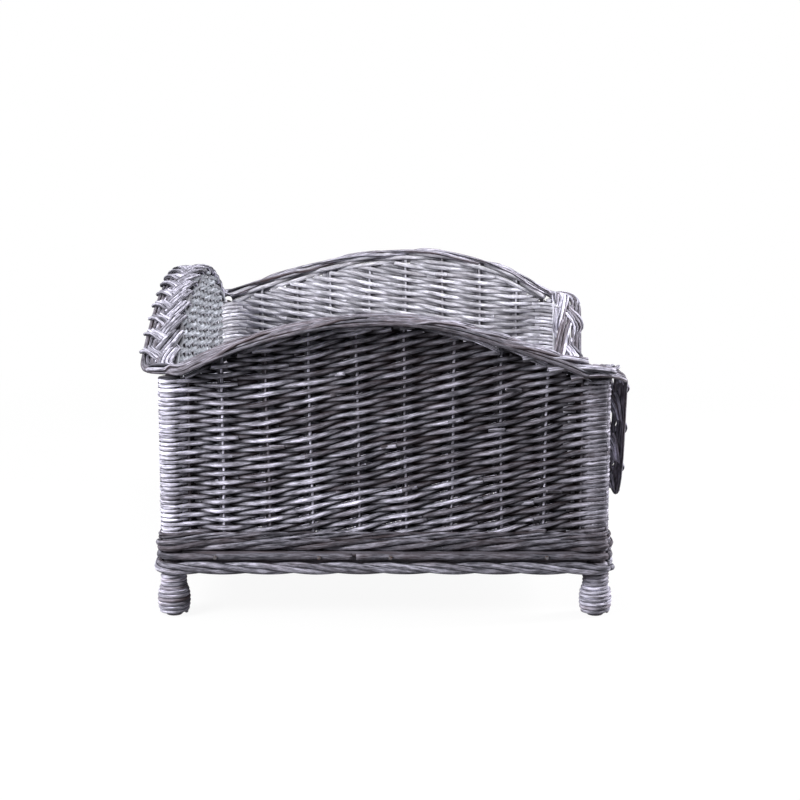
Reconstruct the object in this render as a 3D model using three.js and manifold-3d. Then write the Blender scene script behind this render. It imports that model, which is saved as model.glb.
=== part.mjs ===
// A grey-washed willow pet basket: four wound corner posts, a nailed timber base frame, woven walls
// with an arched back and sides and a low front entry, and a plaited border that flares outward.
// Millimetres, +Z up. The entry faces +X, and the left and right walls lie towards -Y and +Y.
import * as THREE from "three";
import Module from "manifold-3d";
import { mergeVertices } from "three/addons/utils/BufferGeometryUtils.js";

// Driving dimensions of the body
const bodyDepth = 450; // back to front, over the wrapped posts
const bodyWidth = 600; // left to right, over the wrapped posts
const footHeight = 44; // floor to the underside of the base
const cornerHeight = 254; // floor to the border's crest at the corners
const sideHeight = 305; // the crest over the middle of a side wall
const backHeight = 316; // the crest over the middle of the back wall
const entryHeight = 118; // the crest over the middle of the entry
const clearance = 0.3; // between pieces that touch

// Corner posts and their turned feet
const postRadius = 9.5;
const wrapThickness = 4.5; // the weavers laid round a post
const postFacets = 16;
const footProfile = [
  [7.6, 0], [9.7, 2.4], [11.8, 7], [12.7, 13], [12.7, 20], [11.9, 25], [10.3, 28.6],
  [postRadius, 32.5], [postRadius, 38], [postRadius, footHeight],
];
const footSamples = 12;

// Cane winding on each foot
const caneDiameter = 3.4;
const canePitch = 4;
const caneLift = 0.5; // the lowest turn stays this far above the floor
const caneSteps = 16; // steps in a turn
const caneSides = 5;

// Base frame of battens
const railWidth = 23.5;
const railHeight = 19.2;
const railDrop = 3.5; // from the base's underside up to the rail's underside
const slatWidth = 30;
const slatThickness = 12;
const slatSpacing = 200; // between the two slats' middles
const panelThickness = 8;
const panelChamfer = 14;
const panelRelief = 3.6; // from a rod that stands up in the woven floor to the one that lies lower
const panelLand = 2; // the width of a rod's top that a cushion rests on

// Rods round the base, from the floor up
const footWaleHeight = 13.4;
const footWaleDepth = 8;
const waleSides = 10;
const hoopDiameter = 7;
const hoopHeight = 62.3; // floor to the rod's middle
const hoopSides = 8;
const hoopJoint = -30; // where the two rods of the left side butt, forward of the middle
const upsetWaleHeight = 15.2;
const upsetWaleInside = 5.5; // inward of the stakes' line
const upsetWaleOutside = 12; // outward of it
const waleChamfer = 3;

// Nails through the hoop into the rails
const nailHeadRadius = 2.4;
const nailHeadThickness = 1.1;
const nailShankRadius = 1;
const nailLength = 20;
const nailBoreRadius = 1.4;
const nailBoreEnd = 1; // how much further than the nail its bore runs
const nailPoint = 2.5;
const nailFacets = 8;

// Woven walls and the plaited border
const wallThickness = 13;
const rowPitch = 4.5; // from row to row
const weaveRelief = 5.5; // from a row where it passes in front of a stake to where it passes behind
const sideStakes = [-161, -116.5, -74.2, -27, 19.2, 66.1, 113.8, 157.7]; // along the left wall
const climbStart = 0.83; // how far before a wall's middle its rows start to climb, as a share of its reach
const climbEase = 0.5; // the share of its reach over which they come to their full slope
const borderThickness = 10;
const borderInside = 7; // how far the border reaches inward of the stakes' line
const borderRise = 4; // from the border's inner edge up to its crest
const borderDroop = 13; // from its crest down to its outer edge
const crestOutside = 10; // the crest lies this far outward of the stakes' line
const crestFall = 2.4; // how far the border's back has fallen half way from the crest to its outer edge
const lipRound = 5; // rounding of the outer edge
const lipBack = 22; // how far the border stands out beyond the wrapped posts
const lipSide = 20;
const lipFront = 16;
const cornerStep = 9; // from the stakes' line in to the centre of the border's corner turn
const entryLevel = 360; // the level stretch of the entry's crest
const entrySweep = 75; // how far past that stretch the pull of its sides' lower bend reaches
const entryShoulder = 41; // and that of their upper bend, in from the corner turns
const archSteps = 12; // steps of the border along an arched wall
const entrySteps = 9; // and down each side of the entry
const turnStations = 3; // in the half of a corner turn that one wall's border takes
const seatGap = 2.4; // between a corner post's top and the border over it

// Worked out from the dimensions above
const wrapRadius = postRadius + wrapThickness;
const postX = bodyDepth / 2 - wrapRadius;
const postY = bodyWidth / 2 - wrapRadius;
const railBottom = footHeight + railDrop;
const railTop = railBottom + railHeight;
const railOutside = postRadius; // the rails' outer faces line up with the posts
const railInside = railWidth - railOutside;
const upsetBottom = railTop + 2 * clearance;
const upsetTop = upsetBottom + upsetWaleHeight;
const wallBottom = upsetTop + clearance;
const wrapTop = cornerHeight - borderThickness - seatGap;
const hoopOffset = postRadius + clearance + hoopDiameter / 2;

const walls = {
  left: {
    out: [0, -1], span: postX, line: postY, mid: sideHeight, lip: lipSide, slope: 0.22,
    stakes: sideStakes,
  },
  right: {
    out: [0, 1], span: postX, line: postY, mid: sideHeight, lip: lipSide, slope: 0.17,
    stakes: sideStakes.toReversed().map((place) => -place),
  },
  front: { out: [1, 0], span: postY, line: postX, mid: entryHeight, lip: lipFront, slope: 0, entry: true },
  back: { out: [-1, 0], span: postY, line: postX, mid: backHeight, lip: lipBack, slope: 0 },
};
const corners = {
  front_left: [1, -1], front_right: [1, 1], back_left: [-1, -1], back_right: [-1, 1],
};
// Each side's nails: the outer two are set in from the posts' middles, the inner two from the wall's
const nailing = {
  left: { insets: [43, 50], inner: [-65, 6] }, right: { insets: [50, 43], inner: [-6, 65] },
  front: { insets: [71, 71], inner: [-72, 72] }, back: { insets: [71, 71], inner: [-72, 72] },
};
const nailPlaces = Object.fromEntries(Object.entries(nailing).map(([side, { insets, inner }]) =>
  [side, [insets[0] - walls[side].span, ...inner, walls[side].span - insets[1]]]));

const finishes = {
  willow: new THREE.MeshStandardMaterial({ color: 0x7b7984, roughness: 0.75, metalness: 0 }),
  border: new THREE.MeshStandardMaterial({ color: 0x9a97a3, roughness: 0.7, metalness: 0 }),
  base_rods: new THREE.MeshStandardMaterial({ color: 0x827f8b, roughness: 0.7, metalness: 0 }),
  cane: new THREE.MeshStandardMaterial({ color: 0x86858e, roughness: 0.65, metalness: 0 }),
  timber: new THREE.MeshStandardMaterial({ color: 0x6f6a6b, roughness: 0.8, metalness: 0 }),
  nail_steel: new THREE.MeshStandardMaterial({ color: 0x4b4a50, roughness: 0.5, metalness: 0.8 }),
};

const up = new THREE.Vector3(0, 0, 1);
const wasm = await Module();
wasm.setup();

// A closed geometry as a solid for cutting
function solidOf(geometry) {
  const bare = geometry.clone();
  bare.deleteAttribute("normal");
  bare.deleteAttribute("uv");
  const merged = mergeVertices(bare, 1e-4);
  return new wasm.Manifold(new wasm.Mesh({
    numProp: 3,
    vertProperties: merged.attributes.position.array,
    triVerts: new Uint32Array(merged.index.array),
  }));
}

function geometryOf(solid) {
  const mesh = solid.getMesh();
  const geometry = new THREE.BufferGeometry();
  geometry.setAttribute("position", new THREE.BufferAttribute(mesh.vertProperties, 3));
  geometry.setIndex(new THREE.BufferAttribute(mesh.triVerts, 1));
  geometry.computeVertexNormals();
  return geometry;
}

// Joins rings of points into a tube and closes both ends with the triangles given for its section
function loft(rings, caps) {
  const count = rings[0].length;
  const positions = rings.flat().flatMap((p) => [p.x, p.y, p.z]);
  const faces = [];
  for (let i = 0; i + 1 < rings.length; i++) {
    for (let j = 0; j < count; j++) {
      const a = i * count + j;
      const b = i * count + (j + 1) % count;
      faces.push(a, a + count, b, b, a + count, b + count);
    }
  }
  const last = (rings.length - 1) * count;
  for (const [p, q, r] of caps) {
    faces.push(p, q, r, last + p, last + r, last + q);
  }
  const geometry = new THREE.BufferGeometry();
  geometry.setAttribute("position", new THREE.Float32BufferAttribute(positions, 3));
  geometry.setIndex(faces);
  geometry.computeVertexNormals();
  return geometry;
}

function regularSection(sides, radius, centreX = 0, centreY = 0, stretch = 1) {
  return Array.from({ length: sides }, (_, i) => {
    const turn = (2 * Math.PI * (i + 0.5)) / sides;
    const height = stretch * radius * Math.sin(turn);
    return new THREE.Vector2(centreX + radius * Math.cos(turn), centreY + height);
  });
}

// A place on a wall: along it, outward of its stakes' line and up
function wallFrame(wall) {
  const out = new THREE.Vector3(wall.out[0], wall.out[1], 0);
  const along = new THREE.Vector3(-wall.out[1], wall.out[0], 0);
  return { out, along };
}

function onWall(wall, along, outward, height) {
  const frame = wallFrame(wall);
  return new THREE.Vector3()
    .addScaledVector(frame.along, along)
    .addScaledVector(frame.out, wall.line + outward)
    .setZ(height);
}

// Stations along one wall, with half of the corner turn at each end that is asked for
function wallStations(wall, inset, places, turns, turnAt = [true, true]) {
  const { out, along } = wallFrame(wall);
  const stations = places.map((place) => ({
    origin: onWall(wall, place, -inset, 0), out: out.clone(), place,
  }));
  const turned = (end) => Array.from({ length: turns }, (_, i) => {
    const angle = ((i + 1) / turns) * (Math.PI / 4) * end;
    const place = end < 0 ? places[0] : places.at(-1);
    return { origin: onWall(wall, place, -inset, 0), out: out.clone().applyAxisAngle(up, angle), place };
  });
  if (turnAt[0]) stations.unshift(...turned(-1).reverse());
  if (turnAt[1]) stations.push(...turned(1));
  return stations;
}

// Carries a section along stations: its x runs outward and its y along the station's lift
function sweep(section, stations) {
  const rings = stations.map(({ origin, out, lift = up, height = 0 }) => section.map((p) =>
    origin.clone().addScaledVector(out, p.x).addScaledVector(lift, p.y).setZ(
      origin.z + height + lift.z * p.y)));
  return loft(rings, THREE.ShapeUtils.triangulateShape(section, []));
}

// The curves of the border's crest over a wall, as places along it and heights: a shallow arch, or
// the two swept sides of the entry with a level stretch between them
function crestCurves(wall) {
  const reach = wall.span - cornerStep - clearance / 2;
  const point = (place, height) => new THREE.Vector2(place, height);
  if (!wall.entry) {
    const top = point(0, 2 * wall.mid - cornerHeight);
    return [new THREE.QuadraticBezierCurve(point(-reach, cornerHeight), top, point(reach, cornerHeight))];
  }
  const sill = entryLevel / 2;
  const side = (end) => [
    point(end * reach, cornerHeight), point(end * (reach - entryShoulder), cornerHeight),
    point(end * (sill + entrySweep), wall.mid), point(end * sill, wall.mid),
  ];
  return [new THREE.CubicBezierCurve(...side(-1)), new THREE.CubicBezierCurve(...side(1).reverse())];
}

// Stations of the border, each lifted square to the crest where it slopes and level at the corners
function borderPath(wall) {
  const { along } = wallFrame(wall);
  const steps = wall.entry ? entrySteps : archSteps;
  const crest = crestCurves(wall).flatMap((curve) => Array.from({ length: steps + 1 }, (_, i) =>
    ({ at: curve.getPoint(i / steps), tangent: curve.getTangent(i / steps) })));
  const stations = wallStations(wall, cornerStep, crest.map(({ at }) => at.x), turnStations);
  stations.forEach((station, i) => {
    const index = Math.min(Math.max(i - turnStations, 0), crest.length - 1);
    const { at, tangent } = crest[index];
    const inside = index > 0 && index < crest.length - 1;
    station.height = at.y;
    station.lift = inside ? up.clone().multiplyScalar(tangent.x).addScaledVector(along, -tangent.y) : up;
  });
  return stations;
}

// The border's section: outward from the corner turn's centre, and up from the crest
function borderSection(wall) {
  const inner = cornerStep - borderInside;
  const seat = cornerStep + wallThickness / 2 + clearance; // flat where the wall meets it
  const crest = cornerStep + crestOutside;
  const outer = cornerStep + wrapRadius + wall.lip;
  const bend = (crest + outer) / 2;
  const round = lipRound;
  return [
    [inner, -borderThickness], [seat, -borderThickness], [bend, -borderThickness - crestFall / 2],
    [outer - round, -borderDroop - round], [outer - round / 4, -borderDroop - round / 2],
    [outer, -borderDroop + round / 4], [outer - round / 2, -borderDroop + round],
    [bend, -crestFall], [crest, 0], [seat / 2 + inner / 2, -crestFall / 4], [inner, -borderRise],
  ].map(([x, y]) => new THREE.Vector2(x, y));
}

function border(wall) {
  return sweep(borderSection(wall), borderPath(wall));
}

// The line that the border's underside leaves for the wall below it, as places along and up the wall
function underBorder(wall) {
  const drop = borderThickness + clearance;
  return borderPath(wall).slice(turnStations, -turnStations).map(({ height, lift, place }) => {
    const lean = lift.dot(wallFrame(wall).along);
    return new THREE.Vector2(place - lean * drop, height - lift.z * drop);
  });
}

// Cuts a line back to the stretch between its last point before -edge and its first past edge
function trimmed(line, edge) {
  const before = line.findLastIndex((p) => p.x < -edge);
  const after = line.findIndex((p) => p.x > edge);
  const crossing = (a, b, x) => a.clone().lerp(b, (x - a.x) / (b.x - a.x));
  return [
    crossing(line[before], line[before + 1], -edge),
    ...line.slice(before + 1, after),
    crossing(line[after - 1], line[after], edge),
  ];
}

// How high a wall's rows have climbed at a place along it: level, then steeper up to their full slope
function climbAt(wall, place) {
  const run = Math.max(place / wall.span + climbStart, 0);
  const eased = Math.min(run, climbEase);
  return wall.slope * wall.span * (eased ** 2 / (2 * climbEase) + run - eased);
}

// The weave as a sheet wider and taller than its wall. At stake n, row k stands out where n + k is
// even and in where it is odd. A wall that lists no stakes has its rows as straight ribs.
function wovenSheet(wall) {
  const places = [-wall.span, ...(wall.stakes ?? []), wall.span];
  const below = Math.ceil(climbAt(wall, wall.span) / rowPitch) + 1;
  const above = Math.ceil((Math.max(wall.mid, cornerHeight) - wallBottom) / rowPitch);
  const rows = Array.from({ length: below + above }, (_, i) => i - below);
  const rings = places.map((place, n) => {
    const at = (k, depth) => {
      const behind = Math.abs(k + (wall.stakes ? n : 0)) % 2;
      const height = wallBottom + rowPitch * (k + 0.5) + climbAt(wall, place);
      return onWall(wall, place, wallThickness / 2 - behind * weaveRelief - depth, height);
    };
    return [
      ...rows.map((k) => at(k, 0)), ...rows.toReversed().map((k) => at(k, wallThickness - weaveRelief)),
    ];
  });
  const last = 2 * rows.length - 1;
  const caps = rows.slice(1).flatMap((_, i) => [[i, i + 1, last - i - 1], [i, last - i - 1, last - i]]);
  return loft(rings, caps);
}

// A woven wall: its sheet, cut to the outline under its border and between the wrapped posts
function wovenWall(wall) {
  const edge = wall.span - wrapRadius - clearance;
  const outline = [
    new THREE.Vector2(-edge, wallBottom), new THREE.Vector2(edge, wallBottom),
    ...trimmed(underBorder(wall), edge).toReversed(),
  ];
  const cutter = wallSlab(wall, outline, -wallThickness, 2 * wallThickness);
  return geometryOf(solidOf(wovenSheet(wall)).intersect(solidOf(cutter)));
}

// Extrudes an outline drawn along and up a wall, starting at a distance from its stakes' line
function wallSlab(wall, outline, from, thickness) {
  const shape = new THREE.Shape(outline);
  const geometry = new THREE.ExtrudeGeometry(shape, { depth: thickness, bevelEnabled: false });
  const { out, along } = wallFrame(wall);
  const place = new THREE.Matrix4().makeBasis(along, up, out.clone());
  place.setPosition(out.clone().multiplyScalar(wall.line + from));
  return geometry.applyMatrix4(place);
}

function upsetWale(wall) {
  const edge = wall.span - wrapRadius - clearance;
  const chamfer = waleChamfer;
  const section = [
    [-upsetWaleInside, 0], [upsetWaleOutside - chamfer, 0], [upsetWaleOutside, chamfer],
    [upsetWaleOutside, upsetWaleHeight - chamfer], [upsetWaleOutside - chamfer, upsetWaleHeight],
    [-upsetWaleInside, upsetWaleHeight],
  ].map(([x, y]) => new THREE.Vector2(x, y));
  const stations = wallStations(wall, 0, [-edge, edge], 0, [false, false]);
  for (const station of stations) station.height = upsetBottom;
  return sweep(section, stations);
}

function footWale(wall) {
  const middle = postRadius + clearance + footWaleDepth / 2;
  const section = regularSection(waleSides, footWaleDepth / 2, middle, 0, footWaleHeight / footWaleDepth);
  const reach = wall.span - clearance / 2;
  const stations = wallStations(wall, 0, [-reach, reach], turnStations);
  for (const station of stations) station.height = footHeight + footWaleHeight / 2;
  return sweep(section, stations);
}

// A straight hoop rod from one place along the wall to another, turning the corners it reaches
function hoopRod(wall, from, to, turnAt, nails) {
  const section = regularSection(hoopSides, hoopDiameter / 2, hoopOffset);
  const stations = wallStations(wall, 0, [from, to], turnStations, turnAt);
  for (const station of stations) station.height = hoopHeight;
  return drilled(sweep(section, stations), wall, nails.filter((place) => place > from && place < to));
}

// The left and right rails run from post to post, and the other two fit between them
function rail(wall, nails) {
  const edge = wall.span - (wall.span === postX ? postRadius : railInside) - clearance;
  const outline = [[-edge, railBottom], [edge, railBottom], [edge, railTop], [-edge, railTop]]
    .map(([x, y]) => new THREE.Vector2(x, y));
  return drilled(wallSlab(wall, outline, -railInside, railWidth), wall, nails);
}

// Cuts the nails' holes, which end a little deeper than the nails
function drilled(geometry, wall, nails) {
  let solid = solidOf(geometry);
  const depth = nailLength + 2 * nailBoreEnd;
  const middle = hoopOffset + hoopDiameter / 2 + nailBoreEnd - depth / 2;
  for (const place of nails) {
    const bore = new THREE.CylinderGeometry(nailBoreRadius, nailBoreRadius, depth, nailFacets);
    solid = solid.subtract(solidOf(turnedOut(bore, wall, place, middle)));
  }
  return geometryOf(solid);
}

// Lays a shape made along +Y so that it points out of a wall at the hoop's height
function turnedOut(geometry, wall, place, outward) {
  const { out } = wallFrame(wall);
  const turn = new THREE.Quaternion().setFromUnitVectors(new THREE.Vector3(0, 1, 0), out);
  return geometry.applyMatrix4(new THREE.Matrix4().compose(
    onWall(wall, place, outward, hoopHeight), turn, new THREE.Vector3(1, 1, 1)));
}

function nail(wall, place) {
  const profile = [
    [0, -nailLength], [nailShankRadius, nailPoint - nailLength], [nailShankRadius, 0], [nailHeadRadius, 0],
    [nailHeadRadius * 0.75, nailHeadThickness], [0, nailHeadThickness],
  ].map(([x, y]) => new THREE.Vector2(x, y));
  const seat = hoopOffset + (hoopDiameter / 2) * Math.cos(Math.PI / hoopSides) + clearance;
  return turnedOut(new THREE.LatheGeometry(profile, nailFacets), wall, place, seat);
}

const footCurve = new THREE.SplineCurve(footProfile.map(([x, y]) => new THREE.Vector2(x, y)));

function cornerPost() {
  const foot = footCurve.getPoints(footSamples);
  const profile = [
    new THREE.Vector2(0, 0), ...foot, new THREE.Vector2(postRadius, wrapTop), new THREE.Vector2(0, wrapTop),
  ];
  return new THREE.LatheGeometry(profile, postFacets).rotateX(Math.PI / 2);
}

function cornerWrap() {
  const inner = postRadius + clearance;
  const profile = [
    [inner, upsetBottom], [wrapRadius, upsetBottom], [wrapRadius, wrapTop], [inner, wrapTop],
    [inner, upsetBottom],
  ].map(([x, y]) => new THREE.Vector2(x, y));
  return new THREE.LatheGeometry(profile, postFacets).rotateX(Math.PI / 2);
}

// The cane's middle line up the foot, as radius and height, spaced by its own length
function canePathUpFoot() {
  const stand = caneDiameter / 2 + clearance;
  const samples = 60;
  const line = footCurve.getPoints(samples).map((p, i) => {
    const tangent = footCurve.getTangent(i / samples);
    return new THREE.Vector2(p.x + stand * tangent.y, p.y - stand * tangent.x);
  });
  const lowest = caneLift + caneDiameter / 2;
  const highest = footHeight - clearance - caneDiameter / 2;
  return new THREE.SplineCurve(line.filter((p) => p.y > lowest && p.y < highest));
}

// One unbroken cane wound from the foot's lower edge up to the base, its ends straight
function caneMiddle() {
  const climb = canePathUpFoot();
  const turns = climb.getLength() / canePitch;
  const steps = Math.round(turns * caneSteps);
  const outwards = 1 / Math.cos(Math.PI / caneSteps); // the flats between steps clear the post too
  const points = Array.from({ length: steps + 1 }, (_, i) => {
    const at = climb.getPointAt(i / steps);
    const angle = (2 * Math.PI * i) / caneSteps;
    const radius = at.x * outwards;
    return new THREE.Vector3(radius * Math.cos(angle), radius * Math.sin(angle), at.y);
  });
  const flat = (from, to) => to.clone().sub(from).setZ(0).setLength(caneDiameter);
  points.unshift(points[0].clone().add(flat(points[1], points[0])));
  points.push(points.at(-1).clone().add(flat(points.at(-2), points.at(-1))));
  return points;
}

// The least gap between two turns, measured between all points that are over half a turn apart
function leastGap(points) {
  let least = Infinity;
  points.forEach((p, i) => points.slice(i + caneSteps / 2).forEach((q) => {
    least = Math.min(least, p.distanceTo(q));
  }));
  return least - caneDiameter;
}

function caneWinding(points) {
  const section = regularSection(caneSides, caneDiameter / 2);
  const rings = points.map((p, i) => {
    const forward = points[Math.min(i + 1, points.length - 1)].clone()
      .sub(points[Math.max(i - 1, 0)]).normalize();
    const outward = new THREE.Vector3(p.x, p.y, 0).normalize();
    outward.addScaledVector(forward, -outward.dot(forward)).normalize();
    const rise = new THREE.Vector3().crossVectors(forward, outward);
    return section.map((s) => p.clone().addScaledVector(outward, s.x).addScaledVector(rise, -s.y));
  });
  return loft(rings, THREE.ShapeUtils.triangulateShape(section, []));
}

function slat(y) {
  const edge = postX - railInside - clearance;
  const geometry = new THREE.BoxGeometry(2 * edge, slatWidth, slatThickness);
  return geometry.translate(0, y, railTop - slatThickness / 2);
}

// The woven floor: a panel that is flat below, with its rods as ribs from left to right above
function basePanel() {
  const x = postX - upsetWaleInside - clearance;
  const y = postY - upsetWaleInside - clearance;
  const c = panelChamfer;
  const shape = new THREE.Shape([
    [x, c - y], [x, y - c], [x - c, y], [c - x, y], [-x, y - c], [-x, c - y], [c - x, -y], [x - c, -y],
  ].map(([px, py]) => new THREE.Vector2(px, py)));
  const blank = new THREE.ExtrudeGeometry(shape, { depth: panelThickness, bevelEnabled: false });
  const half = Math.ceil(x / rowPitch); // rods on each side of the middle one, which stands up
  const ribs = Array.from({ length: 2 * half + 1 }, (_, i) => i - half).flatMap((rod) => {
    const groove = new THREE.Vector2(-rod * rowPitch, panelThickness - panelRelief);
    const land = [1, -1].map((way) =>
      new THREE.Vector2(-rod * rowPitch + (way * panelLand) / 2, panelThickness));
    return rod % 2 ? [groove] : land;
  });
  const ribbed = new THREE.Shape([
    new THREE.Vector2(ribs.at(-1).x, -clearance), new THREE.Vector2(ribs[0].x, -clearance), ...ribs,
  ]);
  const cutter = new THREE.ExtrudeGeometry(ribbed, { depth: 2 * postY, bevelEnabled: false })
    .rotateX(Math.PI / 2).translate(0, postY, 0);
  const panel = geometryOf(solidOf(blank).intersect(solidOf(cutter)));
  return panel.translate(0, 0, railTop + clearance);
}

const basket = new THREE.Group();
basket.position.x = (lipBack - lipFront) / 2; // the whole basket's middle is the origin

function add(name, geometry, finish, x = 0, y = 0) {
  const mesh = new THREE.Mesh(geometry, finishes[finish]);
  mesh.name = name;
  mesh.position.set(x, y, 0);
  basket.add(mesh);
}

const cane = caneMiddle();
const caneTurns = (cane.length - 3) / caneSteps;
console.log(`cane: ${caneTurns.toFixed(1)} turns, least gap to itself ${leastGap(cane).toFixed(2)} mm`);

for (const [corner, [x, y]] of Object.entries(corners)) {
  add(`corner_post_${corner}`, cornerPost(), "timber", x * postX, y * postY);
  add(`foot_winding_${corner}`, caneWinding(cane), "cane", x * postX, y * postY);
  add(`post_wrap_${corner}`, cornerWrap(), "willow", x * postX, y * postY);
}

for (const [side, wall] of Object.entries(walls)) {
  add(`base_rail_${side}`, rail(wall, nailPlaces[side]), "timber");
  add(`foot_wale_${side}`, footWale(wall), "base_rods");
  add(`upset_wale_${side}`, upsetWale(wall), "base_rods");
  add(`woven_wall_${side}`, wovenWall(wall), "willow");
  add(`plaited_border_${side}`, border(wall), "border");
  nailPlaces[side].forEach((place, i) => add(`nail_${side}_${i + 1}`, nail(wall, place), "nail_steel"));
}

const reachX = postX - clearance / 2;
const reachY = postY - clearance / 2;
const butt = clearance / 2;
const hoopRods = {
  left_rear: ["left", -reachX, hoopJoint - butt, [true, false]],
  left_front: ["left", hoopJoint + butt, reachX, [false, true]],
  right: ["right", -reachX, reachX, [true, true]],
  front: ["front", -reachY, reachY, [true, true]],
  back: ["back", -reachY, reachY, [true, true]],
};
for (const [name, [side, from, to, turnAt]] of Object.entries(hoopRods)) {
  add(`base_hoop_${name}`, hoopRod(walls[side], from, to, turnAt, nailPlaces[side]), "base_rods");
}

add("base_slat_left", slat(-slatSpacing / 2), "timber");
add("base_slat_right", slat(slatSpacing / 2), "timber");
add("base_panel", basePanel(), "willow");

export default basket;
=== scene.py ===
# %% [markdown]
# A wicker pet basket
#
# The real basket is one craft used many times over: thin willow rods, laid round stakes, posts and
# each other. So this lesson makes one thing well, a rod with a skin, and then finds the path of every
# rod as a formula: weavers, stakes, twisted wales, the plaited border and the cane on the feet.
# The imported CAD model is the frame. It says where each piece sits, and it is never moved.

# %% Load the frame
import bpy
import numpy as np
import math
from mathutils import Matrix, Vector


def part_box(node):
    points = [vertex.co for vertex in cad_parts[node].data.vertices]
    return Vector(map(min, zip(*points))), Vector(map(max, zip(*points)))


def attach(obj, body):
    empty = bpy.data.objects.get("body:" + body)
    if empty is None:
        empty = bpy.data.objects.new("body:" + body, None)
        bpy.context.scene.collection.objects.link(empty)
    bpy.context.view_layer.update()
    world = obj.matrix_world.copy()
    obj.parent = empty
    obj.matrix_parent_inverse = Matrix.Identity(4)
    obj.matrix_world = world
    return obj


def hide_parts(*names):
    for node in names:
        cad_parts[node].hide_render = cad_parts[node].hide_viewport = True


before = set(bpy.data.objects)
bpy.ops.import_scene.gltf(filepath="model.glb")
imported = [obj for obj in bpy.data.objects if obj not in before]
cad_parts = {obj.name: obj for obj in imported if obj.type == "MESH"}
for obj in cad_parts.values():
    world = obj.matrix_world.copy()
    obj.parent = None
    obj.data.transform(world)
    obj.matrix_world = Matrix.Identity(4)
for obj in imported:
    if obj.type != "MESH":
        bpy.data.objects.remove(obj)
bpy.context.view_layer.update()
MM = 0.001
chance = np.random.default_rng(23)

# %% [markdown]
# Sizes come from the frame wherever it holds them. The four posts give the basket's plan, and the
# border's boxes give how high its crest runs over each wall and how far it stands out. Each wall then
# has its own directions: outward, and along the wall with the outside on the right-hand side, so one
# function can weave all four.

# %% Measure the basket
WRAP_THICK = 4.5 * MM  # the weavers' ends round a corner post
ENTRY_RISE = 18 * MM  # from the front border's lowest point to its crest over the entry


def box_of(name):
    """The lowest and the highest corner of a CAD node's box."""
    return [np.array(corner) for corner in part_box(name)]


def middle_of(name):
    """The middle of a CAD node's box."""
    low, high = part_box(name)
    return np.array((low + high) / 2)


front_left, back_right = middle_of("corner_post_front_left"), middle_of("corner_post_back_right")
CENTRE = (front_left + back_right) / 2
HALF_DEPTH, HALF_WIDTH = abs(front_left - back_right)[:2] / 2
wrap_low, wrap_high = box_of("post_wrap_front_left")
WRAP_RADIUS = (wrap_high - wrap_low)[0] / 2
POST_RADIUS = WRAP_RADIUS - WRAP_THICK
WALL_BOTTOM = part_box("woven_wall_left")[0].z
CORNER_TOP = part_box("plaited_border_front")[1].z
ENTRY_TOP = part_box("plaited_border_front")[0].z + ENTRY_RISE
SIDE_NAMES = ("front", "right", "back", "left")
CORNER_NAMES = ("front_left", "front_right", "back_right", "back_left")
print("half depth %.3f, half width %.3f" % (HALF_DEPTH, HALF_WIDTH))


# %% The four walls
def wall_of(index, name):
    """A wall's directions and sizes: out at a quarter turn times its index, along square to it."""
    turn = index * math.pi / 2
    out = np.array([round(math.cos(turn)), round(math.sin(turn)), 0.0])
    along = np.array([-out[1], out[0], 0.0])
    deep = index % 2 == 0
    line = HALF_DEPTH if deep else HALF_WIDTH
    low, high = (corner - CENTRE for corner in box_of("plaited_border_" + name))
    reach = max(low @ out, high @ out)
    return {"name": name, "index": index, "out": out, "along": along, "line": line,
            "span": HALF_WIDTH if deep else HALF_DEPTH, "lip": reach - line - WRAP_RADIUS,
            "top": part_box("plaited_border_" + name)[1].z}


WALLS = {name: wall_of(index, name) for index, name in enumerate(SIDE_NAMES)}
for wall in WALLS.values():
    print(wall["name"], "span %.3f line %.3f lip %.3f top %.3f" % tuple(
        wall[key] for key in ("span", "line", "lip", "top")))


def on_wall(wall, along, outward, height):
    """The place in the frame of distances along a wall, outward of its stakes' line, and up."""
    along, outward, height = np.broadcast_arrays(along, outward, height)
    plan = wall["out"] * (wall["line"] + outward)[..., None] + wall["along"] * along[..., None]
    return plan + CENTRE * (1, 1, 0) + np.array((0, 0, 1.0)) * height[..., None]


# %% [markdown]
# The crest is the highest line of the border. Over three walls it is a shallow arch, a parabola. Over
# the entry it dips: two swept sides, each a cubic curve, with a level stretch between them. Weavers
# and stakes stop a little under it, where the border hides their ends.

# %% The crest over each wall
CORNER_STEP = 9 * MM  # the border's corner turns are this far inside the posts' middles
SAG, SAG_PLACE, SAG_LENGTH = 5 * MM, 130 * MM, 60 * MM  # of the near wall's crest
LEAN = 5.5 * MM  # how much the far wall's arch leans towards the entry
LEAN_SCALE = 2.6  # it makes the highest value of x (1 - x^2) one
ENTRY_LEVEL = 360 * MM  # the entry's level stretch
ENTRY_SWEEP, ENTRY_SHOULDER = 75 * MM, 41 * MM  # how long its curves stay level below, and above
CREST_POINTS, CREST_STEP = 120, 3 * MM


def cubic(points, count):
    """A cubic curve: the four points weighed by (1-t)^3, 3t(1-t)^2, 3t^2(1-t) and t^3."""
    t = np.linspace(0, 1, count)[:, None]
    a, b, c, d = np.array(points)
    return a * (1 - t) ** 3 + 3 * b * t * (1 - t) ** 2 + 3 * c * t**2 * (1 - t) + d * t**3


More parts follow.
